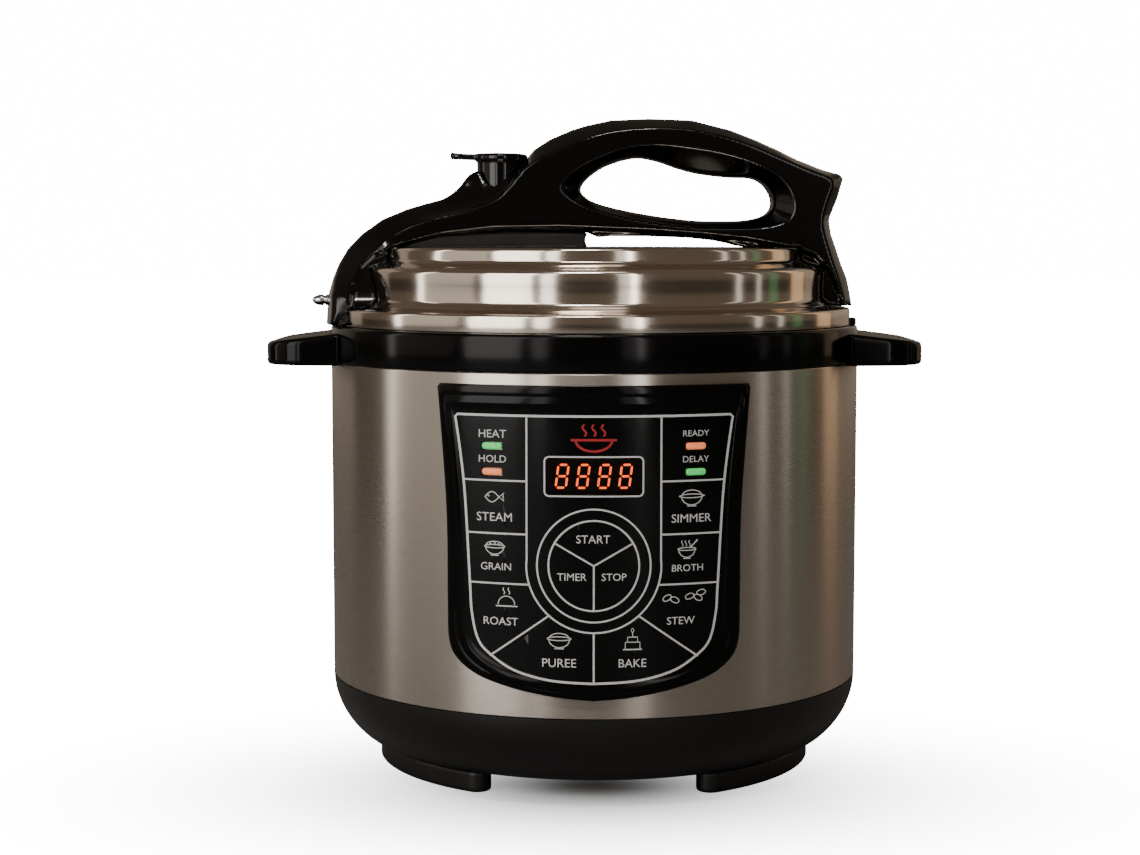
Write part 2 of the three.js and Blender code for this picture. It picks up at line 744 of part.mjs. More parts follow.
// The left leg spreads out at its foot to hug the lid flange.
function legFlare() {
  const wall = turned([
    [FLANGE_R - 20, LEG_BOTTOM],
    [LEG_OUT_X, LEG_BOTTOM],
    [LEG_OUT_X - 1.2, LEG_BOTTOM + 15],
    [LEG_OUT_X - 8, LEG_BOTTOM + LEG_SHOULDER - 2],
    [LEG_OUT_X - 20, LEG_BOTTOM + LEG_SHOULDER],
    [TOP_R - 4, LEG_BOTTOM + LEG_SHOULDER],
  ], FINE);
  const edge = [
    [FLARE_HALF, LEG_BOTTOM - 1],
    [FLARE_HALF, LEG_BOTTOM + 7],
    [FLARE_TOP_HALF + 5, LEG_BOTTOM + 12],
    [FLARE_TOP_HALF, LEG_BOTTOM + LEG_SHOULDER + 1],
  ];
  const spread = [...edge, ...edge.map(([y, z]) => [-y, z]).reverse()];
  const zone = fronted(shape(spread), 0, FAR).rotate([0, 0, 90]);
  return wall.intersect(zone);
}

function lockBore() {
  const seat = disc(LOCK_FLANGE_R + 2 * GAP, 0, LOCK_SEAT_X - LOCK_END_X, SMALL);
  const neck = disc(LOCK_R + GAP, 0, FAR, SMALL);
  const along = (made, x) => made.rotate([0, -90, 0]).translate([x, 0, LOCK_Z]);
  return along(seat, -LOCK_END_X).add(along(neck, -LOCK_END_X));
}

function lidHandle() {
  const half = HANDLE_HALF;
  let made = fronted(handleOutline(), -half, half).add(legFlare());
  made = made.subtract(fronted(gripHole(), -FAR, FAR));
  const pocket = disc(POCKET_R, POCKET_FLOOR, FAR, ROUND / 2).translate([VALVE_X, 0, 0]);
  const pipe = disc(PIPE_R + GAP, 0, FAR, SMALL).translate([VALVE_X, 0, 0]);
  const pin = disc(FLOAT_R + GAP, 0, FLOAT_TOP + FLOAT_TRAVEL + 1, SMALL);
  made = made.subtract(pocket).subtract(pipe).subtract(pin.translate([FLOAT_X, 0, 0]));
  const lever = box(LEVER_TIP_X - 8, VALVE_X, -half * 2, half * 2, VALVE_TOP - 7, FAR);
  made = made.subtract(lever).subtract(lockBore());
  return made.subtract(lidRoom());
}

// The lower moulding of the handle, which is screwed to the lid and closes the handle from below.
function handleBase() {
  const floor = LID_TOP + LID_CROWN + LID_CLEAR;
  const outline = shape([
    [BRIDGE_X - 1, floor],
    ...baseTop().reverse().map(([x, z]) => [x, z - GAP]),
    [-LEG_IN_X + 4, LID_TOP - 2],
  ]);
  let made = fronted(outline, -BASE_PIECE_HALF, BASE_PIECE_HALF).subtract(lidRoom());
  made = made.subtract(disc(PIPE_R + GAP, 0, FAR, SMALL).translate([VALVE_X, 0, 0]));
  return made.subtract(disc(FLOAT_R + GAP, 0, FAR, SMALL).translate([FLOAT_X, 0, 0]));
}

// ---- Valve, float and lock pin -----------------------------------------------------------------
function exhaustPipe() {
  const bore = PIPE_BORE_R;
  const nut = LID_TOP - LID_SHEET - GAP;
  return turned([
    [bore, PIPE_BOTTOM],
    [PIPE_R, PIPE_BOTTOM],
    [PIPE_R, nut - PIPE_NUT_H],
    [PIPE_NUT_R, nut - PIPE_NUT_H],
    [PIPE_NUT_R, nut],
    [PIPE_R, nut],
    [PIPE_R, PIPE_TOP - 2],
    [PIPE_R - 2, PIPE_TOP],
    [bore, PIPE_TOP],
  ], SMALL).translate([VALVE_X, 0, 0]);
}

function steamValve() {
  const capFoot = VALVE_TOP - VALVE_CAP_T;
  const bore = PIPE_R + 0.5;
  const knob = turned([
    [bore, VALVE_FOOT],
    [VALVE_R - 2, VALVE_FOOT],
    [VALVE_R, VALVE_FOOT + 4],
    [VALVE_R, capFoot],
    [VALVE_CAP_R, capFoot + 0.5],
    [VALVE_CAP_R, VALVE_TOP - 1],
    [VALVE_CAP_R - 1.5, VALVE_TOP],
    [0, VALVE_TOP],
    [0, PIPE_TOP + 1.5],
    [bore, PIPE_TOP + 1.5],
  ], SMALL).translate([VALVE_X, 0, 0]);
  const tip = LEVER_W / 2;
  const outline = shape([
    ...arc(LEVER_TIP_X + tip, 0, tip, 90, 270, 6),
    [VALVE_X, -tip],
    [VALVE_X, tip],
  ]);
  return knob.add(raised(outline, capFoot + 0.3, VALVE_TOP - 0.6));
}

// A small cap under the lid that keeps food out of the exhaust pipe.
function valveShield() {
  const top = INNER_COVER_Z - GAP;
  const foot = top - SHIELD_H;
  const wall = 1.2;
  return turned([
    [0, foot],
    [SHIELD_R - 2, foot],
    [SHIELD_R, foot + 2],
    [SHIELD_R, top],
    [SHIELD_R - wall, top],
    [SHIELD_R - wall, foot + 2],
    [0, foot + wall],
  ], SMALL).translate([VALVE_X, 0, 0]);
}

function floatPin() {
  const stopTop = INNER_COVER_Z - GAP - FLOAT_TRAVEL;
  return turned([
    [0, FLOAT_BOTTOM],
    [FLOAT_R + 1.5, FLOAT_BOTTOM],
    [FLOAT_R + 1.5, stopTop],
    [FLOAT_R, stopTop],
    [FLOAT_R, FLOAT_TOP],
    [0, FLOAT_TOP],
  ], SMALL).translate([FLOAT_X, 0, 0]);
}

// Where the spring pushes on the pin.
function lockFlange() {
  return LOCK_SEAT_X - LOCK_TRAVEL - LOCK_FLANGE_T;
}

function lockPin() {
  const tip = -LOCK_TIP_X;
  const tail = LOCK_END_X + LOCK_TRAVEL + 2 * GAP;
  const flange = lockFlange();
  const made = turned([
    [0, tail],
    [LOCK_SHAFT_R, tail],
    [LOCK_SHAFT_R, flange],
    [LOCK_FLANGE_R, flange],
    [LOCK_FLANGE_R, LOCK_SEAT_X - GAP],
    [LOCK_R, LOCK_SEAT_X - GAP],
    [LOCK_R, tip - 5],
    [LOCK_R * 0.85, tip - 2.4],
    [LOCK_R * 0.45, tip - 0.6],
    [0, tip],
  ], SMALL);
  return made.rotate([0, -90, 0]).translate([0, 0, LOCK_Z]);
}

function lockSpring() {
  const made = coil(LOCK_R, LOCK_WIRE, LOCK_END_X + GAP, lockFlange() - GAP, SPRING_TURNS);
  return made.rotate([0, -90, 0]).translate([0, 0, LOCK_Z]);
}

// ---- Panel -------------------------------------------------------------------------------------
// Outline of the printed film: straight sides that lean in, and a round bottom. Inset moves it in.
function filmPoints(inset) {
  const top = 187.8 - inset;
  const topX = 65.3 - inset;
  const side = [[58.4 - inset, 108], [57.4 - inset, 94]];
  const corner = [[54.4 - inset * 0.9, 81 + inset * 0.4], [47.6 - inset * 0.7, 74 + inset * 0.7]];
  const bottom = [[36.5 - inset * 0.4, 67.6 + inset], [20 - inset * 0.2, 63.8 + inset]];
  const right = [[topX, top], ...side, ...corner, ...bottom];
  const left = right.map(([x, z]) => [-x, z]).reverse();
  return [...right, [0, 62.5 + inset], ...left].reverse();
}

function bezelPoints() {
  const right = [
    [73.4, 201.3],
    [69.3, 144],
    [68.8, 98],
    [68.3, 82],
    [64.6, 72.5],
    [54.3, 64.7],
    [36.8, 59.4],
    [17, 56],
  ];
  const left = right.map(([x, z]) => [-x, z]).reverse();
  return [...right, [0, 54.6], ...left].reverse();
}

function panelBezel() {
  const ledge = onWall(shape(bezelPoints()), BEZEL_IN_R, LEDGE_R);
  const rim = onWall(shape(bezelPoints()), BEZEL_IN_R, BEZEL_R);
  const film = fronted(shape(filmPoints(0)), -FAR, 0);
  const hole = fronted(shape(filmPoints(LEDGE_INSET)), -FAR, 0);
  return rim.subtract(film).add(ledge).subtract(hole);
}

// Each cell is given with the strip of film round it: a key takes the whole web, its hole less.
function keyCells(web) {
  const w = web / 2;
  const far = 80;
  const near = COLUMN_X / 3; // inside the dial, which is cut away
  const slope = (SLANT_TO[1] - SLANT_FROM[1]) / (SLANT_TO[0] - SLANT_FROM[0]);
  const slant = (x, lift) => SLANT_FROM[1] + slope * (x - SLANT_FROM[0]) + lift;
  const lift = w * Math.hypot(1, slope);
  const column = (top, bottom) => [
    [COLUMN_X + w, bottom + w],
    [far, bottom + w],
    [far, top - w],
    [COLUMN_X + w, top - w],
  ];
  return {
    upper: column(ROW_Z[0], ROW_Z[1]),
    middle: column(ROW_Z[1], ROW_Z[2]),
    lower: [
      [near, slant(near, lift)],
      [far, slant(far, lift)],
      [far, ROW_Z[2] - w],
      [near, ROW_Z[2] - w],
    ],
    bottom: [
      [w, 40],
      [far, 40],
      [far, slant(far, -lift)],
      [w, slant(w, -lift)],
    ],
  };
}

// The front block of a key in the columns: its cell, inside the film's edge and outside the dial.
function sideBlock(cell, side, web) {
  const points = keyCells(web)[cell];
  const outline = shape(side > 0 ? points : points.map(([x, z]) => [-x, z]).reverse());
  const inside = fronted(shape(filmPoints(WEB / 2 + web / 2)), -FAR, 0);
  const dial = disc(DIAL_OUT_R + web / 2, -FAR, FAR).rotate([90, 0, 0]).translate([0, 0, DIAL_Z]);
  return fronted(outline, -FAR, 0).intersect(inside).subtract(dial);
}

// The front block of a third of the dial, which starts at the angle `from`.
function dialBlock(from, web) {
  const w = web / 2;
  const middle = (from + 60) * RAD;
  const shift = w / Math.sin(60 * RAD);
  const cx = shift * Math.cos(middle);
  const cz = DIAL_Z + shift * Math.sin(middle);
  const r = DIAL_KEY_R - w - shift;
  return fronted(shape([[cx, cz], ...arc(cx, cz, r, from, from + 120, 10)]), -FAR, 0);
}

const COS_30 = Math.cos(30 * RAD);

const KEYS = [
  ["key_fish", (web) => sideBlock("upper", -1, web), -40, 140],
  ["key_rice", (web) => sideBlock("middle", -1, web), -40, 120],
  ["key_meat", (web) => sideBlock("lower", -1, web), -40, 95],
  ["key_baby_food", (web) => sideBlock("bottom", -1, web), -14, 78],
  ["key_cake", (web) => sideBlock("bottom", 1, web), 14, 78],
  ["key_beans", (web) => sideBlock("lower", 1, web), 40, 95],
  ["key_soup", (web) => sideBlock("middle", 1, web), 40, 120],
  ["key_porridge", (web) => sideBlock("upper", 1, web), 40, 140],
  ["key_texture", (web) => dialBlock(30, web), 0, DIAL_Z + DIAL_STEM_R],
  ["key_preset", (web) => dialBlock(150, web), -DIAL_STEM_R * COS_30, DIAL_Z - DIAL_STEM_R / 2],
  ["key_cancel", (web) => dialBlock(270, web), DIAL_STEM_R * COS_30, DIAL_Z - DIAL_STEM_R / 2],
];

// A key plate cut from the wall, with the stem that reaches its switch on the board.
function key(block, x, z) {
  const plate = ring(FILM_R - KEY_T, FILM_R, 0, COLLAR_TOP, FINE).intersect(block(WEB));
  const half = STEM_W / 2;
  const plateY = Math.sqrt((FILM_R - KEY_T) ** 2 - (Math.abs(x) - half) ** 2);
  const tipY = BOARD_Y - KEY_TRAVEL - GAP;
  return plate.add(box(x - half, x + half, -plateY - STEM_BITE, tipY, z - half, z + half));
}

function rectangle(x0, x1, z0, z1) {
  return shape([[x0, z0], [x1, z0], [x1, z1], [x0, z1]]);
}

function lampOutline(x, z, grow) {
  const w = LAMP_W / 2 + grow;
  const h = LAMP_H / 2 + grow;
  return rectangle(x - w, x + w, z - h, z + h);
}

const LAMPS = [
  ["lamp_left_upper", -LAMP_X, LAMP_HIGH_Z, "lampGreen"],
  ["lamp_left_lower", -LAMP_X, LAMP_LOW_Z, "lampOrange"],
  ["lamp_right_upper", LAMP_X, LAMP_HIGH_Z, "lampOrange"],
  ["lamp_right_lower", LAMP_X, LAMP_LOW_Z, "lampGreen"],
];

function windowRectangle(grow) {
  return rectangle(WINDOW.x0 - grow, WINDOW.x1 + grow, WINDOW.z0 - grow, WINDOW.z1 + grow);
}

function panelFilm() {
  const film = onWall(shape(filmPoints(GAP)), FILM_R - FILM_T, FILM_R);
  let made = film.subtract(fronted(windowRectangle(GAP), -FAR, 0));
  for (const [, x, z] of LAMPS) made = made.subtract(fronted(lampOutline(x, z, GAP), -FAR, 0));
  for (const [, block] of KEYS) made = made.subtract(block(WEB - 2 * KEY_GAP));
  return made;
}

// ---- Boards ------------------------------------------------------------------------------------
function controlBoard() {
  return box(-BOARD_HALF, BOARD_HALF, BOARD_Y, BOARD_Y + BOARD_T, BOARD_BOTTOM, BOARD_TOP);
}

function displayModule() {
  const z = (WINDOW.z0 + WINDOW.z1) / 2;
  const half = WINDOW.x1 - 2;
  const [low, high] = [z - MODULE_HALF_H, z + MODULE_HALF_H];
  return box(-half, half, BOARD_Y - MODULE_DEEP, BOARD_Y - GAP, low, high);
}

function powerBoard() {
  const { x0, x1, half, z } = POWER_BOARD;
  const top = z + BOARD_T;
  const seat = top - 0.2; // the parts run a little into the board
  const relay = box(RELAY.x0, RELAY.x1, RELAY.y0, RELAY.y1, seat, top + RELAY.tall);
  const can = disc(CAPACITOR.r, seat, top + CAPACITOR.tall, SMALL);
  const board = box(x0, x1, -half, half, z, top);
  return board.add(relay).add(can.translate([CAPACITOR.x, CAPACITOR.y, 0]));
}

function pressureSwitch() {
  const { x0, x1, half, tall, plungerR, plungerTall } = SWITCH;
  const tip = CASE_BOTTOM - GAP - 2;
  const top = tip - plungerTall;
  const plunger = disc(plungerR, top - 1, tip, SMALL).translate([(x0 + x1) / 2, 0, 0]);
  return box(x0, x1, -half, half, top - tall, top).add(plunger);
}

// ---- Rear pieces -------------------------------------------------------------------------------
function cupBracket() {
  const neck = DRUM_R + GAP + CUP_BRACKET_T;
  const rail = box(-RAIL_HALF, RAIL_HALF, 0, neck, RAIL_BOTTOM, RAIL_TOP);
  const half = RAIL_HALF + RAIL_HEAD;
  const head = box(-half, half, neck - 0.5, neck + RAIL_HEAD_T, RAIL_BOTTOM, RAIL_TOP);
  return rail.add(head).subtract(disc(DRUM_R + GAP, 0, FAR, FINE));
}

// The cup hangs on the bracket's rail by a groove in its back, and lifts up off it.
function condensationCup() {
  const y0 = DRUM_R + GAP + 0.9;
  const backY = y0 + CUP_BRACKET_T + RAIL_HEAD_T + 2;
  const y1 = backY + CUP_DEEP;
  const r = CUP_CORNER_R;
  const plan = shape([
    [-CUP_HALF, y0],
    [CUP_HALF, y0],
    ...arc(CUP_HALF - r, y1 - r, r, 0, 90, 4),
    ...arc(-CUP_HALF + r, y1 - r, r, 90, 180, 4),
  ]);
  const hollow = shape([
    [-CUP_HALF + CUP_WALL, backY],
    [CUP_HALF - CUP_WALL, backY],
    ...arc(CUP_HALF - r, y1 - r, r - CUP_WALL, 0, 90, 4),
    ...arc(-CUP_HALF + r, y1 - r, r - CUP_WALL, 90, 180, 4),
  ]);
  const half = RAIL_HALF + RAIL_SLACK;
  const wide = half + RAIL_HEAD;
  const top = CUP_TOP - CUP_STOP_T;
  const headY = DRUM_R + GAP + CUP_BRACKET_T - 0.5 - RAIL_SLACK;
  const groove = box(-half, half, 0, headY + 1, 0, top).add(
    box(-wide, wide, headY, backY - CUP_WALL, 0, top),
  );
  const tub = raised(plan, CUP_BOTTOM, CUP_TOP);
  const made = tub.subtract(raised(hollow, CUP_BOTTOM + CUP_WALL, FAR)).subtract(groove);
  return made.subtract(disc(DRUM_R + GAP * 2, 0, FAR, FINE));
}

function powerInlet() {
  const back = INLET_OUT_Y - INLET_DEEP;
  const body = fronted(inletOutline(0), back, INLET_OUT_Y);
  const frame = fronted(inletOutline(INLET_FRAME), DRUM_R / 2, INLET_OUT_Y);
  const hollow = fronted(inletOutline(-INLET_WALL), back + INLET_FLOOR, FAR);
  return body.add(frame.subtract(disc(DRUM_R + GAP, 0, FAR, FINE))).subtract(hollow);
}

function inletTerminals() {
  const back = INLET_OUT_Y - INLET_DEEP + INLET_FLOOR + GAP;
  const tip = INLET_OUT_Y - 2;
  const [w, h] = [PIN_HALF_W, PIN_HALF_H];
  let made = fronted(inletOutline(-INLET_WALL - GAP), back, back + 2);
  for (const [dx, dz] of PINS) {
    const [x, z] = [INLET_X + dx, INLET_Z + dz];
    made = made.add(box(x - w, x + w, back + 1, tip, z - h, z + h));
  }
  return made;
}

// ---- Assembly ----------------------------------------------------------------------------------
add("base_housing", baseHousing(), "blackMatt");
add("bottom_cover", bottomCover(), "blackMatt");
const FEET = [
  ["foot_front_left", 270 - FOOT_AT],
  ["foot_front_right", 270 + FOOT_AT],
  ["foot_rear_right", 90 - FOOT_AT],
  ["foot_rear_left", 90 + FOOT_AT],
];
for (const [name, at] of FEET) add(name, foot(at), "blackMatt");
add("outer_shell", outerShell(), "steel");
add("top_collar", topCollar(), "blackGloss");
add("ear_left", ear(-1), "blackGloss");
add("ear_right", ear(1), "blackGloss");
add("locking_ring", lockingRing(), "steelDark");
add("outer_pot", outerPot(), "steelDark");
add("heating_plate", heatingPlate(), "aluminium");
add("plate_support", plateSupport(), "steelDark");
add("sensor_seat", sensorSeat(), "aluminium");
add("temperature_sensor", temperatureSensor(), "aluminium");
add("sensor_spring", sensorSpring(), "steelDark");
add("pressure_switch", pressureSwitch(), "blackSatin");
add("power_board", powerBoard(), "board");
add("inner_pot", innerPot(), "steelDark");

add("panel_bezel", panelBezel(), "blackGloss");
for (const [name, block, x, z] of KEYS) add(name, key(block, x, z), "film");
add("panel_film", panelFilm(), "film");
add("display_window", onWall(windowRectangle(0), FILM_R - FILM_T, FILM_R), "smoke");
for (const [name, x, z, look] of LAMPS) {
  add(name, onWall(lampOutline(x, z, 0), FILM_R - LAMP_T, FILM_R), look);
}
add("control_board", controlBoard(), "board");
add("display_module", displayModule(), "smoke");

add("power_inlet", powerInlet(), "blackMatt");
add("inlet_terminals", inletTerminals(), "brass");
add("cup_bracket", cupBracket(), "blackMatt");
add("condensation_cup", condensationCup(), "blackSatin");

add("lid_shell", lidShell(), "steel");
add("lid_rim", lidRim(), "steelDark");
add("inner_cover", innerCover(), "steelDark");
add("sealing_ring", sealingRing(), "silicone");
add("lid_handle", lidHandle(), "blackGloss");
add("handle_base", handleBase(), "blackSatin");
add("exhaust_pipe", exhaustPipe(), "steelDark");
add("valve_shield", valveShield(), "steelDark");
add("steam_valve", steamValve(), "blackGloss");
add("float_pin", floatPin(), "steelDark");
add("lock_pin", lockPin(), "chrome");
add("lock_spring", lockSpring(), "steelDark");

// The plan box is deeper behind the pot's axis than in front of it, so the pot is moved forward.
const reach = new THREE.Box3().setFromObject(cooker);
cooker.position.y = -(reach.min.y + reach.max.y) / 2;
const part = new THREE.Group();
part.add(cooker);

export default part;
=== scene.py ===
# An electric pressure cooker on a pale studio floor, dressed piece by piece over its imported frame.
import json
import math

import bmesh
import bpy
import numpy as np
import openvdb
from mathutils import Matrix, Vector
from mathutils.geometry import tessellate_polygon

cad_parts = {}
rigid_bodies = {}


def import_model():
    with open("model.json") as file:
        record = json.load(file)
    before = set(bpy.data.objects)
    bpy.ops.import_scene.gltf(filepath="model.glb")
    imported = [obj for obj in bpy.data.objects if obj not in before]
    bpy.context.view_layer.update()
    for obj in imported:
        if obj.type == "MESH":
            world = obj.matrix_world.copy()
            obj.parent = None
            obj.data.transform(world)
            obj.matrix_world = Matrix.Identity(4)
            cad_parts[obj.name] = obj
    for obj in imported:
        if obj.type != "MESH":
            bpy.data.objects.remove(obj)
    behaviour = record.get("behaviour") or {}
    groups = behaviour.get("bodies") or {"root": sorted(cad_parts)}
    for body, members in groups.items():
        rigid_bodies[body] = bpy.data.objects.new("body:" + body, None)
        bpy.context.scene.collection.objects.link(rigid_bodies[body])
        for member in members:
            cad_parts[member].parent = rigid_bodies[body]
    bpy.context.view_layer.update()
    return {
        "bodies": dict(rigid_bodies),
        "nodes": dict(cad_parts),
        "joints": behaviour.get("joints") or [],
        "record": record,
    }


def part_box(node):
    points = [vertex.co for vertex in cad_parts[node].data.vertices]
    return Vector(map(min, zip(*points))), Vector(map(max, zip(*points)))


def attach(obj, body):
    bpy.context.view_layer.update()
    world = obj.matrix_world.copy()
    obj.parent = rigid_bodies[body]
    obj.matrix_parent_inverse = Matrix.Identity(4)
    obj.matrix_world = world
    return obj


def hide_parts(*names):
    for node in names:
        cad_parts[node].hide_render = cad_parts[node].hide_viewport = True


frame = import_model()

# ---- Camera, floor and studio light ----------------------
# A plain pale floor, a long lens a little above the lid, and tall soft boxes round the cooker whose
# edges show as upright streaks in the steel.
MM = 0.001
drum_low, drum_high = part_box("outer_shell")
AXIS_Y = (drum_low.y + drum_high.y) / 2
DRUM_R = (drum_high.x - drum_low.x) / 2 / MM


def link(obj):
    bpy.context.scene.collection.objects.link(obj)
    return obj


camera_data = bpy.data.cameras.new("camera")
camera_data.lens = 68.8
camera_data.sensor_width = 36
camera = link(bpy.data.objects.new("camera", camera_data))
camera.location = (0, AXIS_Y - 1.1345, 0.2686)
camera.rotation_euler = (math.radians(90 - 4.956), 0, math.radians(0.631))
bpy.context.scene.camera = camera


def feed(tree, node, values):
    """Sets the inputs of a shader node, each to a value or to another node's output."""
    for key, value in values.items():
        if isinstance(value, bpy.types.NodeSocket):
            tree.links.new(value, node.inputs[key])
        else:
            node.inputs[key].default_value = value


def add(tree, kind, values, operation=None):
    """Adds a shader node and hands back its outputs."""
    node = tree.nodes.new("ShaderNode" + kind)
    if operation:
        node.operation = operation
    feed(tree, node, values)
    return node.outputs


def reckon(tree, operation, first, second):
    return add(tree, "Math", {0: first, 1: second}, operation)["Value"]


def noise(tree, place, scale, detail=2, rough=0.5):
    values = {"Vector": place, "Scale": scale, "Detail": detail, "Roughness": rough}
    return add(tree, "TexNoise", values)["Fac"]


def ranged(tree, value, low, high, start=0, end=1):
    """From low to high, as the value goes from start to end."""
    values = {"Value": value, "From Min": start, "From Max": end, "To Min": low, "To Max": high}
    return add(tree, "MapRange", values)["Result"]


def material(name):
    """A new material, its node tree, its shader, and the place on the piece it is on."""
    made = bpy.data.materials.new(name)
    made.use_nodes = True
    tree = made.node_tree
    return made, tree, tree.nodes["Principled BSDF"], add(tree, "TexCoord", {})["Object"]


# The floor's sweep glows for the eye alone, a painted brightness that falls away close to the cooker
# as a painted shadow round its foot, so that it runs into the backdrop without an edge and keeps its
# shadow. Its colour is pale to the eye and darker to the light it throws back.
SHADOW_REACH = 0.36
FLOOR_GLOW = 17
floor_paint, tree, shader, place = material("floor_paint")
eye = add(tree, "LightPath", {})["Is Camera Ray"]
spot = add(tree, "Mapping", {"Vector": place, "Scale": (1, 1.5, 1), "Location": (0, 0.14, 0)})["Vector"]
away = add(tree, "VectorMath", {0: spot}, "LENGTH")["Value"]
# Painted shadow: the glow that only the eye sees fades to nothing within SHADOW_REACH of the cooker.
lift = tree.nodes.new("ShaderNodeMapRange")
lift.interpolation_type = "SMOOTHSTEP"
feed(tree, lift, {"Value": away, "From Max": SHADOW_REACH})
painted_shadow_fade = reckon(tree, "POWER", lift.outputs["Result"], 1.2)
painted_glow_to_eye = reckon(tree, "MULTIPLY", painted_shadow_fade, eye)
feed(tree, shader, {
    "Base Color": ranged(tree, eye, 0.22, 0.8),
    "Roughness": ranged(tree, noise(tree, place, 3), 0.55, 0.7),
    "Emission Color": (1, 1, 1, 1),
    # Painted brightness: emission seen by camera rays only, weakest next to the cooker.
    "Emission Strength": reckon(tree, "MULTIPLY", painted_glow_to_eye, FLOOR_GLOW),
})
floor_mesh = bpy.data.meshes.new("floor")
FLOOR_HALF = 12.0
corners = [(x * FLOOR_HALF, y * FLOOR_HALF, 0) for x, y in ((-1, -1), (1, -1), (1, 1), (-1, 1))]
floor_mesh.from_pydata(corners, [], [(0, 1, 2, 3)])
floor_mesh.materials.append(floor_paint)
floor = link(bpy.data.objects.new("floor", floor_mesh))


# A soft box stands at an azimuth from the front, positive to the right, and faces the cooker. Its
# width is in degrees as the cooker sees it, and its glow is its brightness.
def soft_box(name, azimuth, wide, glow, colour=(1, 0.97, 0.94), distance=2.0, height=1.4, z=0.72):
    data = bpy.data.lights.new(name, "AREA")
    data.shape = "RECTANGLE"
    data.size = 2 * distance * math.tan(math.radians(wide / 2))
    data.size_y = height
    data.energy = glow * math.pi * data.size * height
    data.color = colour
    lamp = link(bpy.data.objects.new(name, data))
    angle = math.radians(azimuth)
    lamp.location = (distance * math.sin(angle), AXIS_Y - distance * math.cos(angle), z)
    aim = Vector((0, AXIS_Y, 0.2)) - lamp.location
    lamp.rotation_euler = aim.to_track_quat("-Z", "Y").to_euler()


soft_box("window_left", -42, 26, 5.0)
soft_box("slit_left", -22, 6.5, 4.0)
soft_box("glow_right", 16, 9, 1.2)
soft_box("slit_right", 19, 2.5, 7)
soft_box("slit_far_right", 74, 3, 1.3)
soft_box("sliver_right", 87, 2.5, 1.1)
soft_box("leaf_right", 98, 7, 0.18, colour=(0.25, 1, 0.45))
soft_box("wood_right", 120, 14, 0.8, colour=(1, 0.66, 0.4))
soft_box("slit_far_left", -93, 4, 3.5)
soft_box("wall_left", -78, 38, 0.62, colour=(1, 0.92, 0.84), distance=2.4)
soft_box("back_left", -142, 40, 0.26, colour=(1, 0.88, 0.76), distance=2.4)
soft_box("back_right", 148, 40, 0.26, colour=(1, 0.82, 0.64), distance=2.4)
soft_box("top_light", 5, 40, 2.2, distance=0.9, height=0.7, z=2.2)
soft_box("edge_light", -10, 26, 70, distance=0.9, height=0.1, z=1.6)

world = bpy.data.worlds.new("studio")
world.use_nodes = True
bpy.context.scene.world = world
tree = world.node_tree
room = tree.nodes["Background"]
feed(tree, room, {"Color": (0.46, 0.37, 0.29, 1), "Strength": 0.3})
backdrop = add(tree, "Background", {"Color": (1, 1, 1, 1), "Strength": 16})["Background"]
eye = add(tree, "LightPath", {})["Is Camera Ray"]
choose = add(tree, "MixShader", {"Fac": eye, 1: room.outputs["Background"], 2: backdrop})["Shader"]
feed(tree, tree.nodes["World Output"], {"Surface": choose})


# ---- Base housing ----------------------------------------
# The bowl under the drum is one moulding in matt black, with a fine spark-eroded grain. It turns in
# from the drum's edge to a flat ring that the feet stand under.
def corner_rounded(points, steps=4):
    """Points are (r, z) or (r, z, radius); a corner with a radius becomes an arc."""
    out = []
    for i, point in enumerate(points):
        if len(point) < 3:
            out.append(point)
            continue
        here = Vector(point[:2])
        before = Vector(points[i - 1][:2]) - here
        after = Vector(points[(i + 1) % len(points)][:2]) - here
        reach = min(point[2], before.length * 0.48, after.length * 0.48)
        start = here + before.normalized() * reach
        end = here + after.normalized() * reach
        for k in range(steps + 1):
            t = k / steps
            spot = start * (1 - t) ** 2 + here * 2 * t * (1 - t) + end * t ** 2
            out.append((spot.x, spot.y))
    return out


def finish_mesh(name, made, look, body, angle=32):
    """The mesh as an object with its material, smooth up to the angle, riding on its body."""
    mesh = bpy.data.meshes.new(name)
    made.to_mesh(mesh)
    made.free()
    mesh.materials.append(look)
    for face in mesh.polygons:
        face.use_smooth = True
    mesh.set_sharp_from_angle(angle=math.radians(angle))
    obj = link(bpy.data.objects.new(name, mesh))
    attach(obj, body)
    return obj


def turned(name, profile, look, body, sides=180, place=None, angle=32):
    """A piece turned about a vertical axis, the pot's own unless a place is given. (r, z) in mm."""
    made = bmesh.new()
    turns = [2 * math.pi * k / sides for k in range(sides)]
    columns = []
    for r, z in corner_rounded(profile):
        if r < 1e-6:
            columns.append([made.verts.new((0, 0, z * MM))] * sides)
            continue
        ring = [(r * math.cos(a) * MM, r * math.sin(a) * MM, z * MM) for a in turns]
        columns.append([made.verts.new(spot) for spot in ring])
    for low, high in zip(columns, columns[1:] + columns[:1]):
        for k in range(sides):
            n = (k + 1) % sides
            corners = list(dict.fromkeys([low[k], low[n], high[n], high[k]]))
            if len(corners) > 2:
                made.faces.new(corners)
    bmesh.ops.recalc_face_normals(made, faces=made.faces)
    made.transform(place or Matrix.Translation((0, AXIS_Y, 0)))
    return finish_mesh(name, made, look, body, angle)


def tinted(tree, value, dark, light, start=0, end=1):
    """From a dark colour to a light one, as the value goes from start to end."""
    ramp = tree.nodes.new("ShaderNodeValToRGB")
    for k, colour, position in ((0, dark, start), (1, light, end)):
        ramp.color_ramp.elements[k].position = position
        ramp.color_ramp.elements[k].color = (*colour, 1)
    feed(tree, ramp, {"Fac": value})
    return ramp.outputs["Color"]


def bumps(tree, height, strength, depth):
    return add(tree, "Bump", {"Height": height, "Strength": strength, "Distance": depth})["Normal"]


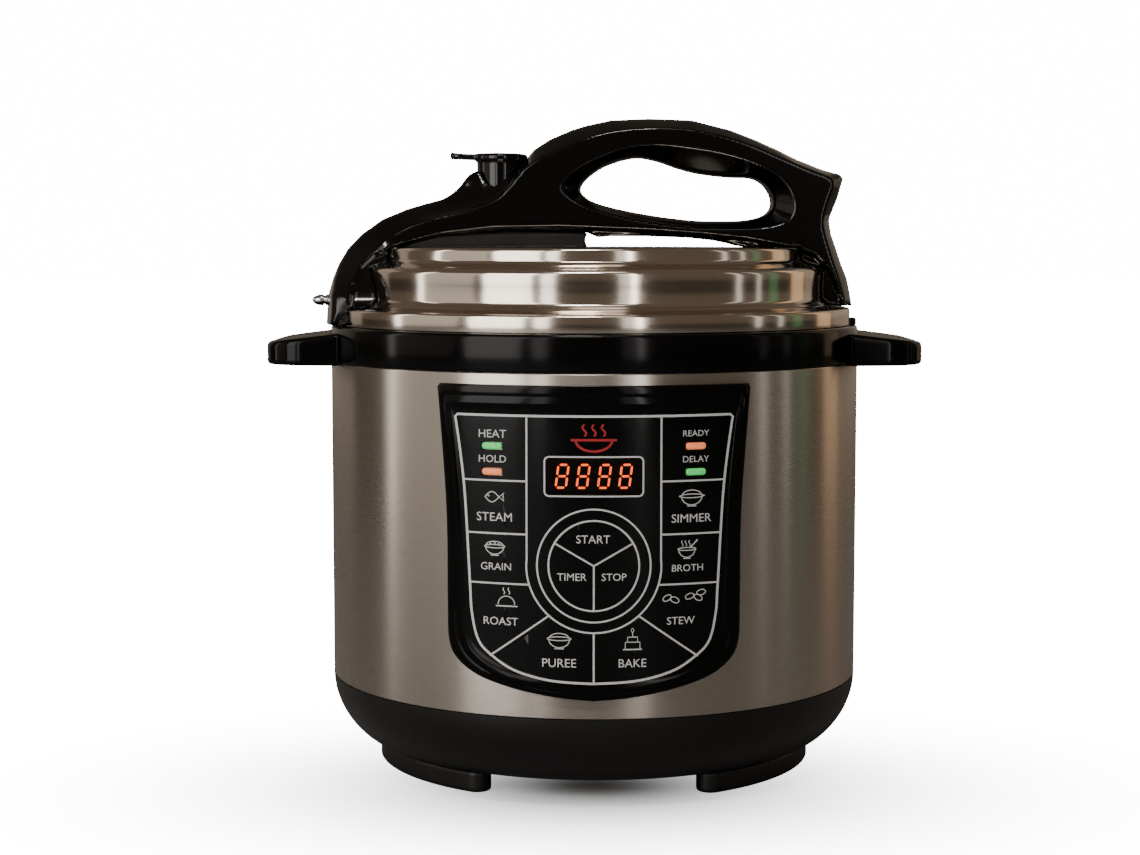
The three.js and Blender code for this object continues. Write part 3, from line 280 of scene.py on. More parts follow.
def moulded(name, colour, rough, spread, grain, depth, gloss_level=0.3):
    """Injection-moulded plastic: a little uneven gloss, and a grain of the given size in mm."""
    made, tree, shader, place = material(name)
    cloud = noise(tree, place, 22, 3)
    pits = noise(tree, place, 1 / (grain * MM))
    dark = [c * 0.85 for c in colour]
    light = [c * 1.15 for c in colour]
    feed(tree, shader, {
        "Base Color": tinted(tree, cloud, dark, light, 0.3, 0.7),
        "Roughness": ranged(tree, cloud, rough - spread, rough + spread, 0.3, 0.7),
        "Normal": bumps(tree, pits, 0.5, depth * MM),
        "Specular IOR Level": gloss_level,
    })
    return made


matt_black = moulded("matt_black_plastic", (0.0045, 0.0041, 0.0037), 0.38, 0.05, 0.5, 0.03, 0.4)
BASE_BOTTOM_R = 113
BASE_TOP = 45.2
FOOT_H = 11
BASE_WALL = 2.6
BASE_HOLE_R = 100


def bowl_curve(inset, steps):
    wide = DRUM_R - BASE_BOTTOM_R - inset
    tall = BASE_TOP - FOOT_H - inset
    turns = [math.pi / 2 * (1 - i / steps) for i in range(steps + 1)]
    return [(BASE_BOTTOM_R + wide * abs(math.cos(a)) ** 1.4, BASE_TOP - tall * math.sin(a)) for a in turns]


base_housing = turned("base_housing_moulding", [
    (BASE_HOLE_R, FOOT_H),
    *bowl_curve(0, 22),
    *bowl_curve(BASE_WALL, 10)[::-1],
    (BASE_HOLE_R, FOOT_H + BASE_WALL),
], matt_black, "cooker")
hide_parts("base_housing")

# ---- Feet ------------------------------------------------
# Four feet are moulded blocks on a ring, with round ends and softened edges, each screwed up into
# the bowl.
FOOT_OUT_R = 112
FOOT_WIDE = 14
FOOT_HALF_ARC = 28
FOOT_TALL = 10.7


def carved(name, field, low, high, step, look, body, angle=60):
    """The closed surface where field(x, y, z) changes sign. All in mm, about the pot's axis."""
    axes = [np.arange(low[k] - 2 * step, high[k] + 3 * step, step) for k in range(3)]
    x, y, z = np.meshgrid(*axes, indexing="ij")
    values = np.clip(field(x, y, z), -3 * step, 3 * step).astype(np.float32)
    grid = openvdb.FloatGrid(3 * step)
    grid.copyFromArray(values)
    points, quads = grid.convertToQuads(0.0)
    start = np.array([axis[0] for axis in axes])
    places = (points * step + start) * MM
    places[:, 1] += AXIS_Y
    surface = bpy.data.meshes.new(name)
    surface.from_pydata(places.tolist(), [], quads[:, ::-1].tolist())
    made = bmesh.new()
    made.from_mesh(surface)
    bpy.data.meshes.remove(surface)
    bmesh.ops.recalc_face_normals(made, faces=made.faces)
    return finish_mesh(name, made, look, body, angle)


def meet(a, b, r):
    """Both fields at once, with the edge between them rounded by r."""
    return np.minimum(np.maximum(a, b), -r) + np.hypot(np.maximum(a + r, 0), np.maximum(b + r, 0))


def join(a, b, r):
    """Either field, with the hollow between them filled by r."""
    return -meet(-a, -b, r)


def foot_field(at):
    mid_r = FOOT_OUT_R - FOOT_WIDE / 2
    reach = math.radians(FOOT_HALF_ARC) - FOOT_WIDE / 2 / mid_r
    middle = math.radians(at)

    def field(x, y, z):
        turn = (np.arctan2(y, x) - middle + math.pi) % (2 * math.pi) - math.pi
        past = np.maximum(np.abs(turn) - reach, 0) * mid_r
        side = np.hypot(np.hypot(x, y) - mid_r, past) - FOOT_WIDE / 2
        return meet(side, np.abs(z - FOOT_TALL / 2) - FOOT_TALL / 2, 1.5)

    return field


feet = {"foot_front_left": 213, "foot_front_right": 327, "foot_rear_right": 33, "foot_rear_left": 147}
for node, at in feet.items():
    low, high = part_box(node)
    low = (low / MM) - Vector((0, AXIS_Y / MM, 0))
    high = (high / MM) - Vector((0, AXIS_Y / MM, 0))
    foot = carved(node + "_block", foot_field(at), low, high, 0.8, matt_black, "cooker")
    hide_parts(node)

# ---- Drum ------------------------------------------------
# The drum is a sheet of stainless steel, brushed round its girth and rolled into a tube, with a
# rolled edge at the top and at the bottom.
def brushed(name, tone, rough, streak, scale, anisotropy):
    """Steel brushed round the vertical axis: lines that follow the turn, finer than a hair."""
    made, tree, shader, place = material(name)
    at = add(tree, "SeparateXYZ", {"Vector": place})
    back = reckon(tree, "SUBTRACT", at["Y"], AXIS_Y)
    flat = add(tree, "CombineXYZ", {"X": at["X"], "Y": back})["Vector"]
    out = add(tree, "VectorMath", {0: flat}, "LENGTH")["Value"]
    turn = reckon(tree, "ARCTAN2", back, at["X"])
    drawn = reckon(tree, "MULTIPLY", turn, 0.006)
    grid = add(tree, "CombineXYZ", {"X": out, "Y": drawn, "Z": at["Z"]})["Vector"]
    lines = noise(tree, grid, scale, 4, 0.7)
    cloud = noise(tree, place, 9, 3)
    dark = [c * (1 - streak) for c in tone]
    light = [c * (1 + streak) for c in tone]
    both = reckon(tree, "ADD", lines, cloud)
    round_axis = tree.nodes.new("ShaderNodeTangent")
    round_axis.direction_type = "RADIAL"
    round_axis.axis = "Z"
    feed(tree, shader, {
        "Base Color": tinted(tree, lines, dark, light, 0.3, 0.7),
        "Roughness": ranged(tree, both, rough * 0.88, rough * 1.12, 0.6, 1.4),
        "Normal": bumps(tree, lines, 0.06, 0.00003),
        "Tangent": round_axis.outputs["Tangent"],
        "Metallic": 1,
        "Anisotropic": anisotropy,
        "Anisotropic Rotation": 0.25,
    })
    return made


drum_steel = brushed("brushed_drum_steel", (0.55, 0.494, 0.438), 0.29, 0.04, 2400, 0.9)
SHELL_TOP = 206.4
SHELL_FOOT = BASE_TOP + 0.3
drum = turned("drum_sheet", [
    (DRUM_R - 1, SHELL_FOOT),
    (DRUM_R, SHELL_FOOT, 0.7),
    (DRUM_R, SHELL_TOP, 0.7),
    (DRUM_R - 1, SHELL_TOP),
], drum_steel, "cooker", sides=240)
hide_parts("outer_shell")

# ---- Top collar ------------------------------------------
# The collar is a gloss black moulding that caps the drum, with a softened shoulder and a small
# stop block on the right that the lid's handle comes up to.
gloss_black = moulded("gloss_black_plastic", (0.0018, 0.0017, 0.0016), 0.13, 0.03, 1.6, 0.01, 0.14)
COLLAR_BOTTOM = 206.7
COLLAR_TOP = 224.6
COLLAR_WALL = 2.5
COLLAR_IN_R = 127
collar = turned("collar_moulding", [
    (DRUM_R - COLLAR_WALL, COLLAR_BOTTOM),
    (DRUM_R, COLLAR_BOTTOM, 0.6),
    (DRUM_R, COLLAR_TOP, 2.2),
    (COLLAR_IN_R, COLLAR_TOP, 0.8),
    (COLLAR_IN_R, 216.5),
    (COLLAR_IN_R + 1.5, 216.5),
    (COLLAR_IN_R + 1.5, COLLAR_TOP - COLLAR_WALL),
    (DRUM_R - COLLAR_WALL, COLLAR_TOP - COLLAR_WALL),
], gloss_black, "cooker", sides=240)
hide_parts("top_collar")
STOP_R = 134.2
STOP_Z = 225.8


def stop_field(x, y, z):
    side = meet(np.abs(np.hypot(x, y) - STOP_R) - 1.5, np.abs(y) - 6, 0.8)
    return meet(side, np.abs(z - STOP_Z) - 2.0, 0.8)


lid_stop = carved("lid_stop_block", stop_field, (132, -7, 223), (137, 7, 229), 0.4, gloss_black, "cooker")

# ---- Ear handles -----------------------------------------
# Two tabs stand out of the collar to lift the cooker by. Each is a gloss black moulding with full
# round corners, a top that falls away from the collar, and a hollow for the fingers underneath.
EAR_REACH = 166
EAR_HALF = 48
EAR_BOTTOM = 204.9
EAR_CORNER = 20


def ear_field(side):
    def field(x, y, z):
        out = x * side
        dx = np.maximum(out - (EAR_REACH - EAR_CORNER), 0)
        dy = np.maximum(np.abs(y) - (EAR_HALF - EAR_CORNER), 0)
        plan = np.hypot(dx, dy) - EAR_CORNER
        top = z - (220.8 - (out - 132) * (4.0 / 34))
        bottom = EAR_BOTTOM + 0.1 + 0.3 * (out - 130) / 36 - z
        block = meet(meet(plan, top, 2.4), bottom, 1.6)
        finger = np.hypot(np.hypot(out - 147, y / 2.6), (z - EAR_BOTTOM + 6) * 1.1) - 12
        block = meet(block, -finger, 1.2)
        return np.maximum(block, DRUM_R + 0.15 - np.hypot(x, y))

    return field


for side, node in ((-1, "ear_left"), (1, "ear_right")):
    low = (min(side * 122, side * 167), -49, 204)
    high = (max(side * 122, side * 167), 49, 222)
    ear = carved(node + "_moulding", ear_field(side), low, high, 0.8, gloss_black, "cooker")
    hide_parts(node)

# ---- Lid -------------------------------------------------
# The lid is spun from stainless sheet in two tiers over a flat flange, satin brushed round the
# axis, with a swept foot and a soft shoulder to each tier.
lid_steel = brushed("satin_lid_steel", (0.64, 0.565, 0.485), 0.12, 0.02, 2400, 0.0)
LID_SHEET = 1.2
lid_outside = [
    (131.9, 224.9, 0.3),
    (131.9, 233.2, 1.4),
    (124.5, 233.9, 1.5),
    (121.0, 234.6, 1.0),
    (119.3, 236.0, 0.8),
    (117.2, 237.6, 1.2),
    (117.0, 243.5, 5.0),
    (117.4, 253.4, 2.4),
    (111.2, 255.2, 1.2),
    (108.8, 256.2, 0.8),
    (107.0, 257.6, 0.8),
    (106.6, 264.0, 1.8),
    (60, 264.4, 30),
    (0, 264.6),
]
lid_inside = [(max(r - LID_SHEET, 0), z - LID_SHEET) for r, z, *_ in lid_outside][::-1]
lid_inside = lid_inside[:-2] + [(130.7, 232.0), (130.7, 224.9)]
lid = turned("lid_spinning", lid_outside + lid_inside, lid_steel, "lid", sides=240, angle=50)
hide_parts("lid_shell")

# ---- Lid handle ------------------------------------------
# The handle is one gloss black moulding. Its left leg spreads out to hug the lid's flange, its
# arch is bevelled along the top, and the bevel widens into a scoop that the valve stands in.
SILHOUETTE = [
    (-138.4, 225), (-137.9, 232), (-137.2, 240.3), (-135, 248), (-131.9, 255.6), (-127.2, 263.3),
    (-120, 270.9), (-109.2, 278.5), (-96.9, 283.6), (-88.2, 286.2), (-78.5, 288.7), (-73.9, 291.2),
    (-70.8, 293.8), (-68.3, 296.3), (-66.7, 298.8), (-64.2, 301.4), (-60.5, 303.4), (-45, 305),
    (-36, 308), (-31, 314), (-23.4, 319), (-11.7, 324.1), (-3.1, 326.6), (8.6, 329.1), (28.5, 329.9),
    (49.8, 329.1), (69.7, 324.1), (82.9, 319), (94.1, 314), (104.4, 308.9), (117.1, 303.9),
    (126.3, 301.4), (127.9, 299.2), (126.4, 293.8), (124.9, 288.7), (122.9, 283.6), (121.4, 280.1),
    (121, 277), (122, 270.9), (124.7, 263.3), (127.3, 255.6), (130.4, 248), (132, 240.3), (133.1, 234),
    (105, 234), (104, 250), (79, 255), (76, 264), (70, 266), (62, 267.6), (50, 268.9), (28, 269.8),
    (8, 269.8), (2, 269.2), (-4, 271.8), (-46, 271.5), (-78.5, 269.3), (-104.7, 262), (-104.7, 225),
]
GRIP_HOLE = [
    (-6.6, 292.2), (-6.1, 296.3), (-2, 300.8), (5.1, 305.4), (14.3, 308.7), (23.4, 310), (33.6, 307.9),
    (43.8, 304.4), (54, 301.9), (69.3, 300.1), (80.5, 299.6), (86.6, 296.8), (90.2, 292.2),
    (91.5, 288.2), (90.8, 283.6), (86.7, 280.1), (77.6, 278), (64.3, 277.5), (49, 278), (28.6, 280.6),
    (10.7, 284.1), (-1, 287.7),
]
GRIP_BEVEL = [
    (-16.3, 293.3), (-14.3, 298.3), (-7.1, 304.4), (3.1, 309.4), (15.8, 314), (31, 316), (48.9, 314.5),
    (64.1, 312), (79.4, 307.4), (92.2, 300.8), (98.9, 294.3), (101.5, 288.2), (101.5, 281.5),
    (97, 276.4), (86, 273.9), (66, 273.3), (46, 274.2), (24, 277.2), (6, 281.6), (-8, 286.6),
]
CREASE = [
    (-131.5, 232), (-129.2, 240), (-124.8, 250.5), (-118.5, 259), (-110, 266.5), (-99, 273.2),
    (-85.4, 278.3), (-68, 282.1), (-50.5, 288.4), (-43.6, 294.4), (-33.8, 305.5), (-22, 311.5),
    (-12, 315.6), (-5, 318.6), (10, 322.5), (32, 324.3), (55, 322.4), (75, 317.4), (95, 309.3),
    (110, 302.9), (119, 299.6), (121.5, 296), (118.6, 287), (116.5, 277.5), (118, 269), (121.5, 258),
    (125.2, 247), (127.6, 238), (128.5, 232),
]
LOWER_EDGE = [
    (-130.8, 225), (-130.4, 236), (-127.7, 244.9), (-122, 253.6), (-114.3, 260.2), (-107.6, 262.6),
    (-96, 266.6), (-78.5, 270.6), (-51.2, 273.6), (-17.8, 274.2), (28.5, 272.4), (54, 270.6),
    (76, 268.4), (94.6, 265.2), (104, 263.2), (113, 259.5), (119, 253), (123.4, 244.6), (126.7, 235.7),
    (127.5, 228), (0, 200), (-130.8, 200),
]
HANDLE_HALF = 21
RIDGE_HALF = 9
GRIP_HALF = 11.5
FLARE_HALF = 50
LIP_DEEP = 3.2
VALVE_X = -48
POCKET_R = 13.5
POCKET_FLOOR = 282
FLOAT_X = -84
FLOAT_BORE_R = 3.4
FLOAT_BORE_TOP = 274
STEP = 0.8


def curved(points, closed=True, steps=4):
    """The same run of points, drawn as a smooth curve through each of them."""
    count = len(points)
    out = []
    for i in range(count if closed else count - 1):
        picks = [(i + k) % count if closed else min(max(i + k, 0), count - 1) for k in (-1, 0, 1, 2)]
        a, b, c, d = (Vector(points[k]) for k in picks)
        for s in range(steps):
            t = s / steps
            bend = (-a + 3 * b - 3 * c + d) * t ** 3 + (2 * a - 5 * b + 4 * c - d) * t ** 2 + (c - a) * t
            out.append(tuple(b + bend * 0.5))
    return out if closed else out + [tuple(points[-1])]


def reach_to(points, x, z, closed=True):
    """Distance from each (x, z) to a run of points."""
    best = np.full(x.shape, 1e9)
    pairs = zip(points, points[1:] + (points[:1] if closed else []))
    for (x0, z0), (x1, z1) in pairs:
        dx, dz = x1 - x0, z1 - z0
        size = dx * dx + dz * dz
        if size < 1e-12:
            continue
        t = np.clip(((x - x0) * dx + (z - z0) * dz) / size, 0, 1)
        best = np.minimum(best, (x - x0 - t * dx) ** 2 + (z - z0 - t * dz) ** 2)
    return np.sqrt(best)


def inside(points, x, z):
    """Whether each (x, z) lies inside a closed outline."""
    odd = np.zeros(x.shape, dtype=bool)
    for (x0, z0), (x1, z1) in zip(points, points[1:] + points[:1]):
        if z0 == z1:
            continue
        crosses = (z0 > z) != (z1 > z)
        odd ^= crosses & (x < x0 + (z - z0) * (x1 - x0) / (z1 - z0))
    return odd


def depth_in(points, x, z):
    """Signed distance to a closed outline, negative inside."""
    return np.where(inside(points, x, z), -1, 1) * reach_to(points, x, z)


def eased(t):
    """From 0 to 1, slow at both ends."""
    t = np.clip(t, 0, 1)
    return t * t * (3 - 2 * t)


handle_black = moulded("handle_black_plastic", (0.0011, 0.0011, 0.0011), 0.10, 0.02, 1.6, 0.008, 0.38)
LID_OUTLINE = [(r, z) for r, z, *_ in lid_outside] + [(0, 200), (131.9, 200)]

low = (-142, -53, 223)
high = (136, 53, 332)
axis_x = np.arange(low[0] - 2 * STEP, high[0] + 3 * STEP, STEP)
axis_z = np.arange(low[2] - 2 * STEP, high[2] + 3 * STEP, STEP)
flat_x, flat_z = np.meshgrid(axis_x, axis_z, indexing="ij")
side_view = depth_in(SILHOUETTE, flat_x, flat_z)
grip_view = depth_in(curved(GRIP_HOLE), flat_x, flat_z)
bevel_view = depth_in(curved(GRIP_BEVEL), flat_x, flat_z)
crease = curved(CREASE, closed=False)
above_crease = inside(crease + [(150, 200), (170, 400), (-170, 400), (-150, 200)], flat_x, flat_z)
to_crease = np.where(above_crease, reach_to(crease, flat_x, flat_z, closed=False), 0)
to_edge = np.maximum(-side_view, 0)
rise = to_crease / np.maximum(to_crease + to_edge, 1e-6)
scoop = np.clip((-30 - flat_x) / 14, 0, 1) * np.clip((flat_x + 96) / 20, 0, 1)
drop = (1 - scoop) * rise ** 1.1 + scoop * rise ** 0.6
leg = eased((-84 - flat_x) / 30)
spread = eased((272 - flat_z) / 40)
face_half = HANDLE_HALF + (FLARE_HALF - HANDLE_HALF) * spread * leg
bevel_deep = (HANDLE_HALF - RIDGE_HALF) * (1 - leg) + 9 * leg
half_view = face_half - bevel_deep * drop
to_bevel = np.where(bevel_view < 0, -bevel_view, 0)
fall = to_bevel / np.maximum(to_bevel + np.maximum(grip_view, 0), 1e-6)
half_view = half_view - (HANDLE_HALF - GRIP_HALF) * fall ** 0.9
lower_view = depth_in(LOWER_EDGE, flat_x, flat_z)
half_view = half_view - LIP_DEEP * np.clip(0.5 - lower_view / 2.4, 0, 1)
side_view = meet(side_view, -grip_view, 1.2)


lid_r = np.arange(0, 170, 1.0)
lid_view = depth_in(LID_OUTLINE, *np.meshgrid(lid_r, axis_z, indexing="ij"))


def read(view, place, k):
    """A side view read part way between its columns, at the rows k of the grid."""
    column = place.astype(int)
    t = place - column
    return view[column, k] * (1 - t) + view[column + 1, k] * t


def float_bore(x, y, z):
    return np.maximum(np.hypot(x - FLOAT_X, y) - FLOAT_BORE_R, z - FLOAT_BORE_TOP)


def handle_field(x, y, z):
    k = np.broadcast_to(np.arange(x.shape[2]), x.shape)
    around = np.hypot(x, y)
    hug = np.clip((-60 - x) / 40, 0, 1)
    u = np.clip((x * (1 - hug) - around * hug - axis_x[0]) / STEP, 0, len(axis_x) - 1.001)
    block = meet(read(side_view, u, k), (np.abs(y) - read(half_view, u, k)) * 0.9, 1.8)
    pocket = meet(np.hypot(x - VALVE_X, y) - POCKET_R, POCKET_FLOOR - z, 1.0)
    block = meet(block, -pocket, 1.0)
    room = read(lid_view, np.clip(around, 0, lid_r[-1] - 0.01), k)
    room = np.where(around > 133, np.maximum(room, around - 132), room)
    block = meet(block, 0.05 - room, 1.4)
    return np.maximum(block, -float_bore(x, y, z))


handle = carved("lid_handle_moulding", handle_field, low, high, STEP, handle_black, "lid", angle=180)
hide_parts("lid_handle")

# ---- Handle base -----------------------------------------
# The lower moulding closes the handle from below and is screwed to the lid. It is matt black with
# a coarse speckled grain, and its right end is scooped out where the gap under the bridge starts.
speckled = moulded("speckled_black_plastic", (0.006, 0.0056, 0.0054), 0.36, 0.1, 0.8, 0.16)
BASE_TOP_X = [-108, -104.7, -78.5, -46, -4]
BASE_TOP_Z = [263.6, 264.7, 270.4, 272.2, 271.8]


def base_field(x, y, z):
    plan = meet(np.abs(y) - 18, np.maximum(-x - 108, x - 3), 4)
    block = meet(plan, z - np.interp(x, BASE_TOP_X, BASE_TOP_Z), 1.2)
    notch = np.hypot(np.minimum(x - 1.2, 0), (z - 267.8) * 1.15) - 5.8
    block = meet(block, -notch, 0.8)
    room = depth_in(LID_OUTLINE, np.hypot(x, y), z)
    block = meet(block, -0.5 - room, 0.3)
    return np.maximum(block, -float_bore(x, y, z))


base = carved("handle_base_moulding", base_field, (-109, -19, 256), (4, 19, 273), 1.0, speckled, "lid")
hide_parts("handle_base")

# ---- Steam valve -----------------------------------------
# The valve is a round gloss black knob that drops over the pipe. Its domed cap runs out on the
# left into a flat lever with a round, slightly raised tip.
VALVE_TOP = 312.3
LEVER_TIP_X = -74.4


def valve_field(x, y, z):
    r = np.hypot(x - VALVE_X, y)
    stem = meet(r - 12.6 - 0.4 * np.clip((296 - z) / 12, 0, 1), np.abs(z - 297) - 13, 1.5)
    crown = z - (VALVE_TOP + 0.35 - 0.004 * r * r)
    cap = meet(meet(r - 13.6, crown, 1.3), 308.6 - z, 0.8)
    ahead = np.clip((VALVE_X - x) / (VALVE_X - LEVER_TIP_X), 0, 1)
    half = 6.6 - 2.2 * ahead
    tip = LEVER_TIP_X + 4.4
    plan = np.hypot(np.minimum(x - tip, 0), y) - half
    plan = np.maximum(plan, x - VALVE_X)
    lift = z - (310.4 + 0.9 * ahead ** 3)
    lever = meet(plan, np.abs(lift) - 1.5 - 0.3 * np.clip((ahead - 0.86) / 0.1, 0, 1), 0.9)
    body = join(join(stem, cap, 1.0), lever, 1.2)
    bore = np.maximum(r - 5.5, z - 297.5)
    return np.maximum(body, -bore)


low = (-75, -14.5, 283.5)
high = (-33.5, 14.5, 313.5)
valve = carved("steam_valve_knob", valve_field, low, high, 0.55, handle_black, "steam_valve", 180)
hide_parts("steam_valve")

# ---- Lock pin --------------------------------------------
# A turned and chromed steel pin, with a round nose and a groove behind it, comes out of the left
# leg and is pressed in to free the lid.
chrome, tree, shader, place = material("polished_chrome")
smudge = noise(tree, place, 260, 3)
feed(tree, shader, {
    "Base Color": tinted(tree, smudge, (0.62, 0.62, 0.63), (0.85, 0.85, 0.86)),
    "Roughness": ranged(tree, smudge, 0.03, 0.16),
    "Metallic": 1,
})

LOCK_Z = 236.8
LOCK_TIP = 146.9
leftward = Matrix.Translation((0, AXIS_Y, LOCK_Z * MM)) @ Matrix.Rotation(-math.pi / 2, 4, "Y")
pin = turned("lock_pin_chrome", [
    (0, 127.6),
    (1.6, 127.6),
    (1.6, 128.5),
    (2.9, 128.5, 0.4),
    (2.9, 139.4, 0.3),
    (2.3, 139.8, 0.2),
    (2.3, 140.6, 0.2),
    (2.9, 141.0, 0.3),
    (2.8, 143.6, 1.2),
    (1.7, 146.0, 0.8),
    (0, LOCK_TIP),
], chrome, "lock", sides=48, place=leftward, angle=40)
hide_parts("lock_pin")

# ---- Panel bezel -----------------------------------------
# A gloss black frame follows the drum's curve round the film. It rises from its outer edge to a
# ridge, then falls to the film; the band over the film is the widest part.
FILM_R = 139
BEZEL_SIDE = [
    (73.4, 201.3), (69.3, 144), (68.8, 98), (68.3, 81), (64.6, 72.2), (54.3, 64.7), (36.8, 59.4),
    (17, 56), (0, 54.6),
]
FILM_SIDE = [
    (65.2, 187.8), (61, 154), (58.4, 108.7), (57.5, 94.3), (54.4, 81), (47.7, 74), (37, 67.7),
    (20.5, 63.7), (0, 62.5),
]


def half_run(points, count, corner=1.2):
    """Evenly spaced points down the right side of an outline, smoothed below its middle."""
    top = Vector(points[0])
    turn = [(-corner, 0), (-corner * 0.3, -corner * 0.3), (0, -corner)]
    run = [Vector(p) for p in curved(points, closed=False, steps=8)]
    run = [top + Vector(p) for p in turn] + [p for p in run if p.y < top.y - corner * 1.5]
    lengths = np.cumsum([0] + [(b - a).length for a, b in zip(run, run[1:])])
    spots = np.linspace(0, lengths[-1], count)
    return list(zip(*(np.interp(spots, lengths, [p[k] for p in run]) for k in (0, 1))))


def whole_run(points):
    """The outline right round: down the right side, up the left and back along the top."""
    right = half_run(points, 90)
    left = [(-x, z) for x, z in right[::-1]][1:]
    top_x, top_z = left[-1]
    top = [(top_x + (right[0][0] - top_x) * k / 40, top_z) for k in range(1, 40)]
    return right + left + top


def wall_verts(made, points, r):
    """Corners at (x, z) in mm, laid on the drum's wall at a radius r."""
    return [made.verts.new((x * MM, AXIS_Y - math.sqrt(r * r - x * x) * MM, z * MM)) for x, z in points]


def on_wall(name, loops, look, body, cap=False, angle=32):
    """Loops of (x, z) at stated radii, joined in order round the drum's wall. All in mm."""
    made = bmesh.new()
    rows = [wall_verts(made, points, r) for points, r in loops]
    for first, second in list(zip(rows, rows[1:])) + ([] if cap else [(rows[-1], rows[0])]):
        for k in range(len(first)):
            n = (k + 1) % len(first)
            made.faces.new([first[k], first[n], second[n], second[k]])
    if cap:
        for row, points in ((rows[0], loops[0][0]), (rows[-1], loops[-1][0])):
            for tri in tessellate_polygon([[Vector((x, z, 0)) for x, z in points]]):
                made.faces.new([row[k] for k in tri])
    bmesh.ops.recalc_face_normals(made, faces=made.faces)
    return finish_mesh(name, made, look, body, angle)


outer_run = whole_run(BEZEL_SIDE)
inner_run = whole_run(FILM_SIDE)


def between(t):
    return [(a * (1 - t) + c * t, b * (1 - t) + d * t) for (a, b), (c, d) in zip(outer_run, inner_run)]


bezel_shape = [(0.0, 136.3), (0.0, 138.0), (0.02, 138.5), (0.08, 138.8), (0.2, 139.0), (0.34, 139.15)]
bezel_shape += [(0.38, 138.95), (0.42, 139.15), (0.54, 139.4), (0.6, 139.6), (0.64, 139.6), (0.7, 139.3)]
bezel_shape += [(0.86, 138.95), (0.98, 138.85), (1.0, 138.5), (1.0, 136.3)]
bezel = on_wall("panel_bezel_frame", [(between(t), r) for t, r in bezel_shape], gloss_black, "cooker")
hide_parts("panel_bezel")

# ---- Film and keys ---------------------------------------
# The film is printed polycarbonate, black behind and glossy in front. Each key is its own plate
# under a gap as fine as a line, and gives a little when pressed.
film_black = moulded("film_black", (0.0016, 0.0016, 0.0017), 0.15, 0.03, 2.5, 0.008, 0.22)
SLICE = 2


def rounded_copy(node, look, body, radii, name):
    """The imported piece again, with its flat strips drawn out to the true round of the wall."""
    source = bpy.data.objects[node]
    made = bmesh.new()
    made.from_mesh(source.data)
    made.transform(source.matrix_world)
    bmesh.ops.remove_doubles(made, verts=made.verts, dist=0.00001)
    at = math.ceil(min(v.co.x for v in made.verts) / MM / SLICE) * SLICE
    end = max(v.co.x for v in made.verts)
    while at * MM < end:
        parts = made.verts[:] + made.edges[:] + made.faces[:]
        spot = (at * MM, 0, 0)
        bmesh.ops.bisect_plane(made, geom=parts, plane_co=spot, plane_no=(1, 0, 0), dist=0.000001)
        at += SLICE
    for v in made.verts:
        dy = v.co.y - AXIS_Y
        around = math.hypot(v.co.x, dy) / MM
        for r in radii:
            if r - 0.13 < around < r + 0.02:
                grow = r / around
                v.co.x *= grow
                v.co.y = AXIS_Y + dy * grow
                break
    piece = finish_mesh(name, made, look, body, 20)
    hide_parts(node)
    return piece


rounded_copy("panel_film", film_black, "cooker", (FILM_R, FILM_R - 1.6), "panel_film_sheet")
KEYS = "fish rice meat baby_food cake beans soup porridge texture preset cancel".split()
for node in ["key_" + name for name in KEYS]:
    rounded_copy(node, film_black, node, (FILM_R, FILM_R - 1.3), node + "_plate")

# ---- Print on the panel ----------------------------------
# Lines, plain words and simple signs are printed in off-white ink, thick enough to feel. What is
# printed on a key moves with that key.
def printed(name, thin, thick, scale, rough):
    """Screen-printed ink that covers a little unevenly."""
    made, tree, shader, place = material(name)
    cover = noise(tree, place, scale)
    feed(tree, shader, {"Base Color": tinted(tree, cover, thin, thick), "Roughness": rough})
    return made


ink = printed("off_white_ink", (0.52, 0.52, 0.51), (0.72, 0.72, 0.7), 500, 0.45)
INK_R = FILM_R + 0.05
DIAL = (0, 118.1)


def ink_mesh(name, faces, look, body, r=INK_R):
    """Flat faces of (x, z) in mm, laid on the wall as one thin mesh."""
    made = bmesh.new()
    for points in faces:
        made.faces.new(wall_verts(made, points, r))
    bmesh.ops.remove_doubles(made, verts=made.verts, dist=0.000002)
    for face in made.faces:
        face.normal_update()
        if face.normal.y > 0:
            face.normal_flip()
    return finish_mesh(name, made, look, body, 60)


def stroke(points, width, closed=False):
    """A line of even width along a run of points, as faces."""
    run = [Vector(p) for p in points]
    pieces = []
    if not closed and len(run) == 2 and (run[1] - run[0]).length > 3:
        run = [run[0].lerp(run[1], k / 24) for k in range(25)]
    count = len(run)
    sides = []
    for i, p in enumerate(run):
        before = run[i - 1] if closed or i else p
        after = run[(i + 1) % count] if closed or i < count - 1 else p
        along = (after - before).normalized()
        across = Vector((-along.y, along.x)) * width / 2
        sides.append((tuple(p + across), tuple(p - across)))
    for i in range(count if closed else count - 1):
        a, b = sides[i]
        c, d = sides[(i + 1) % count]
        pieces.append([a, b, d, c])
    return pieces


def circle(x, z, r, start=0, end=360, steps=48, squeeze=1.0):
    spots = [math.radians(start + (end - start) * k / steps) for k in range(steps + (end - start < 360))]
    return [(x + r * math.cos(a), z + r * math.sin(a) * squeeze) for a in spots]


def rounded_box(x0, x1, z0, z1, r, inset=0.0, apart=1.5):
    """A box with round corners, its sides cut short so that they follow the wall."""
    out = []
    corners = ((x1 - r, z1 - r, 0), (x0 + r, z1 - r, 90), (x0 + r, z0 + r, 180), (x1 - r, z0 + r, 270))
    for cx, cz, start in corners:
        out += circle(cx, cz, r - inset, start, start + 90, 6)
    dense = []
    for a, b in zip(out, out[1:] + out[:1]):
        count = max(1, int(math.dist(a, b) / apart))
        steps = [k / count for k in range(count)]
        dense += [(a[0] + (b[0] - a[0]) * t, a[1] + (b[1] - a[1]) * t) for t in steps]
    return dense


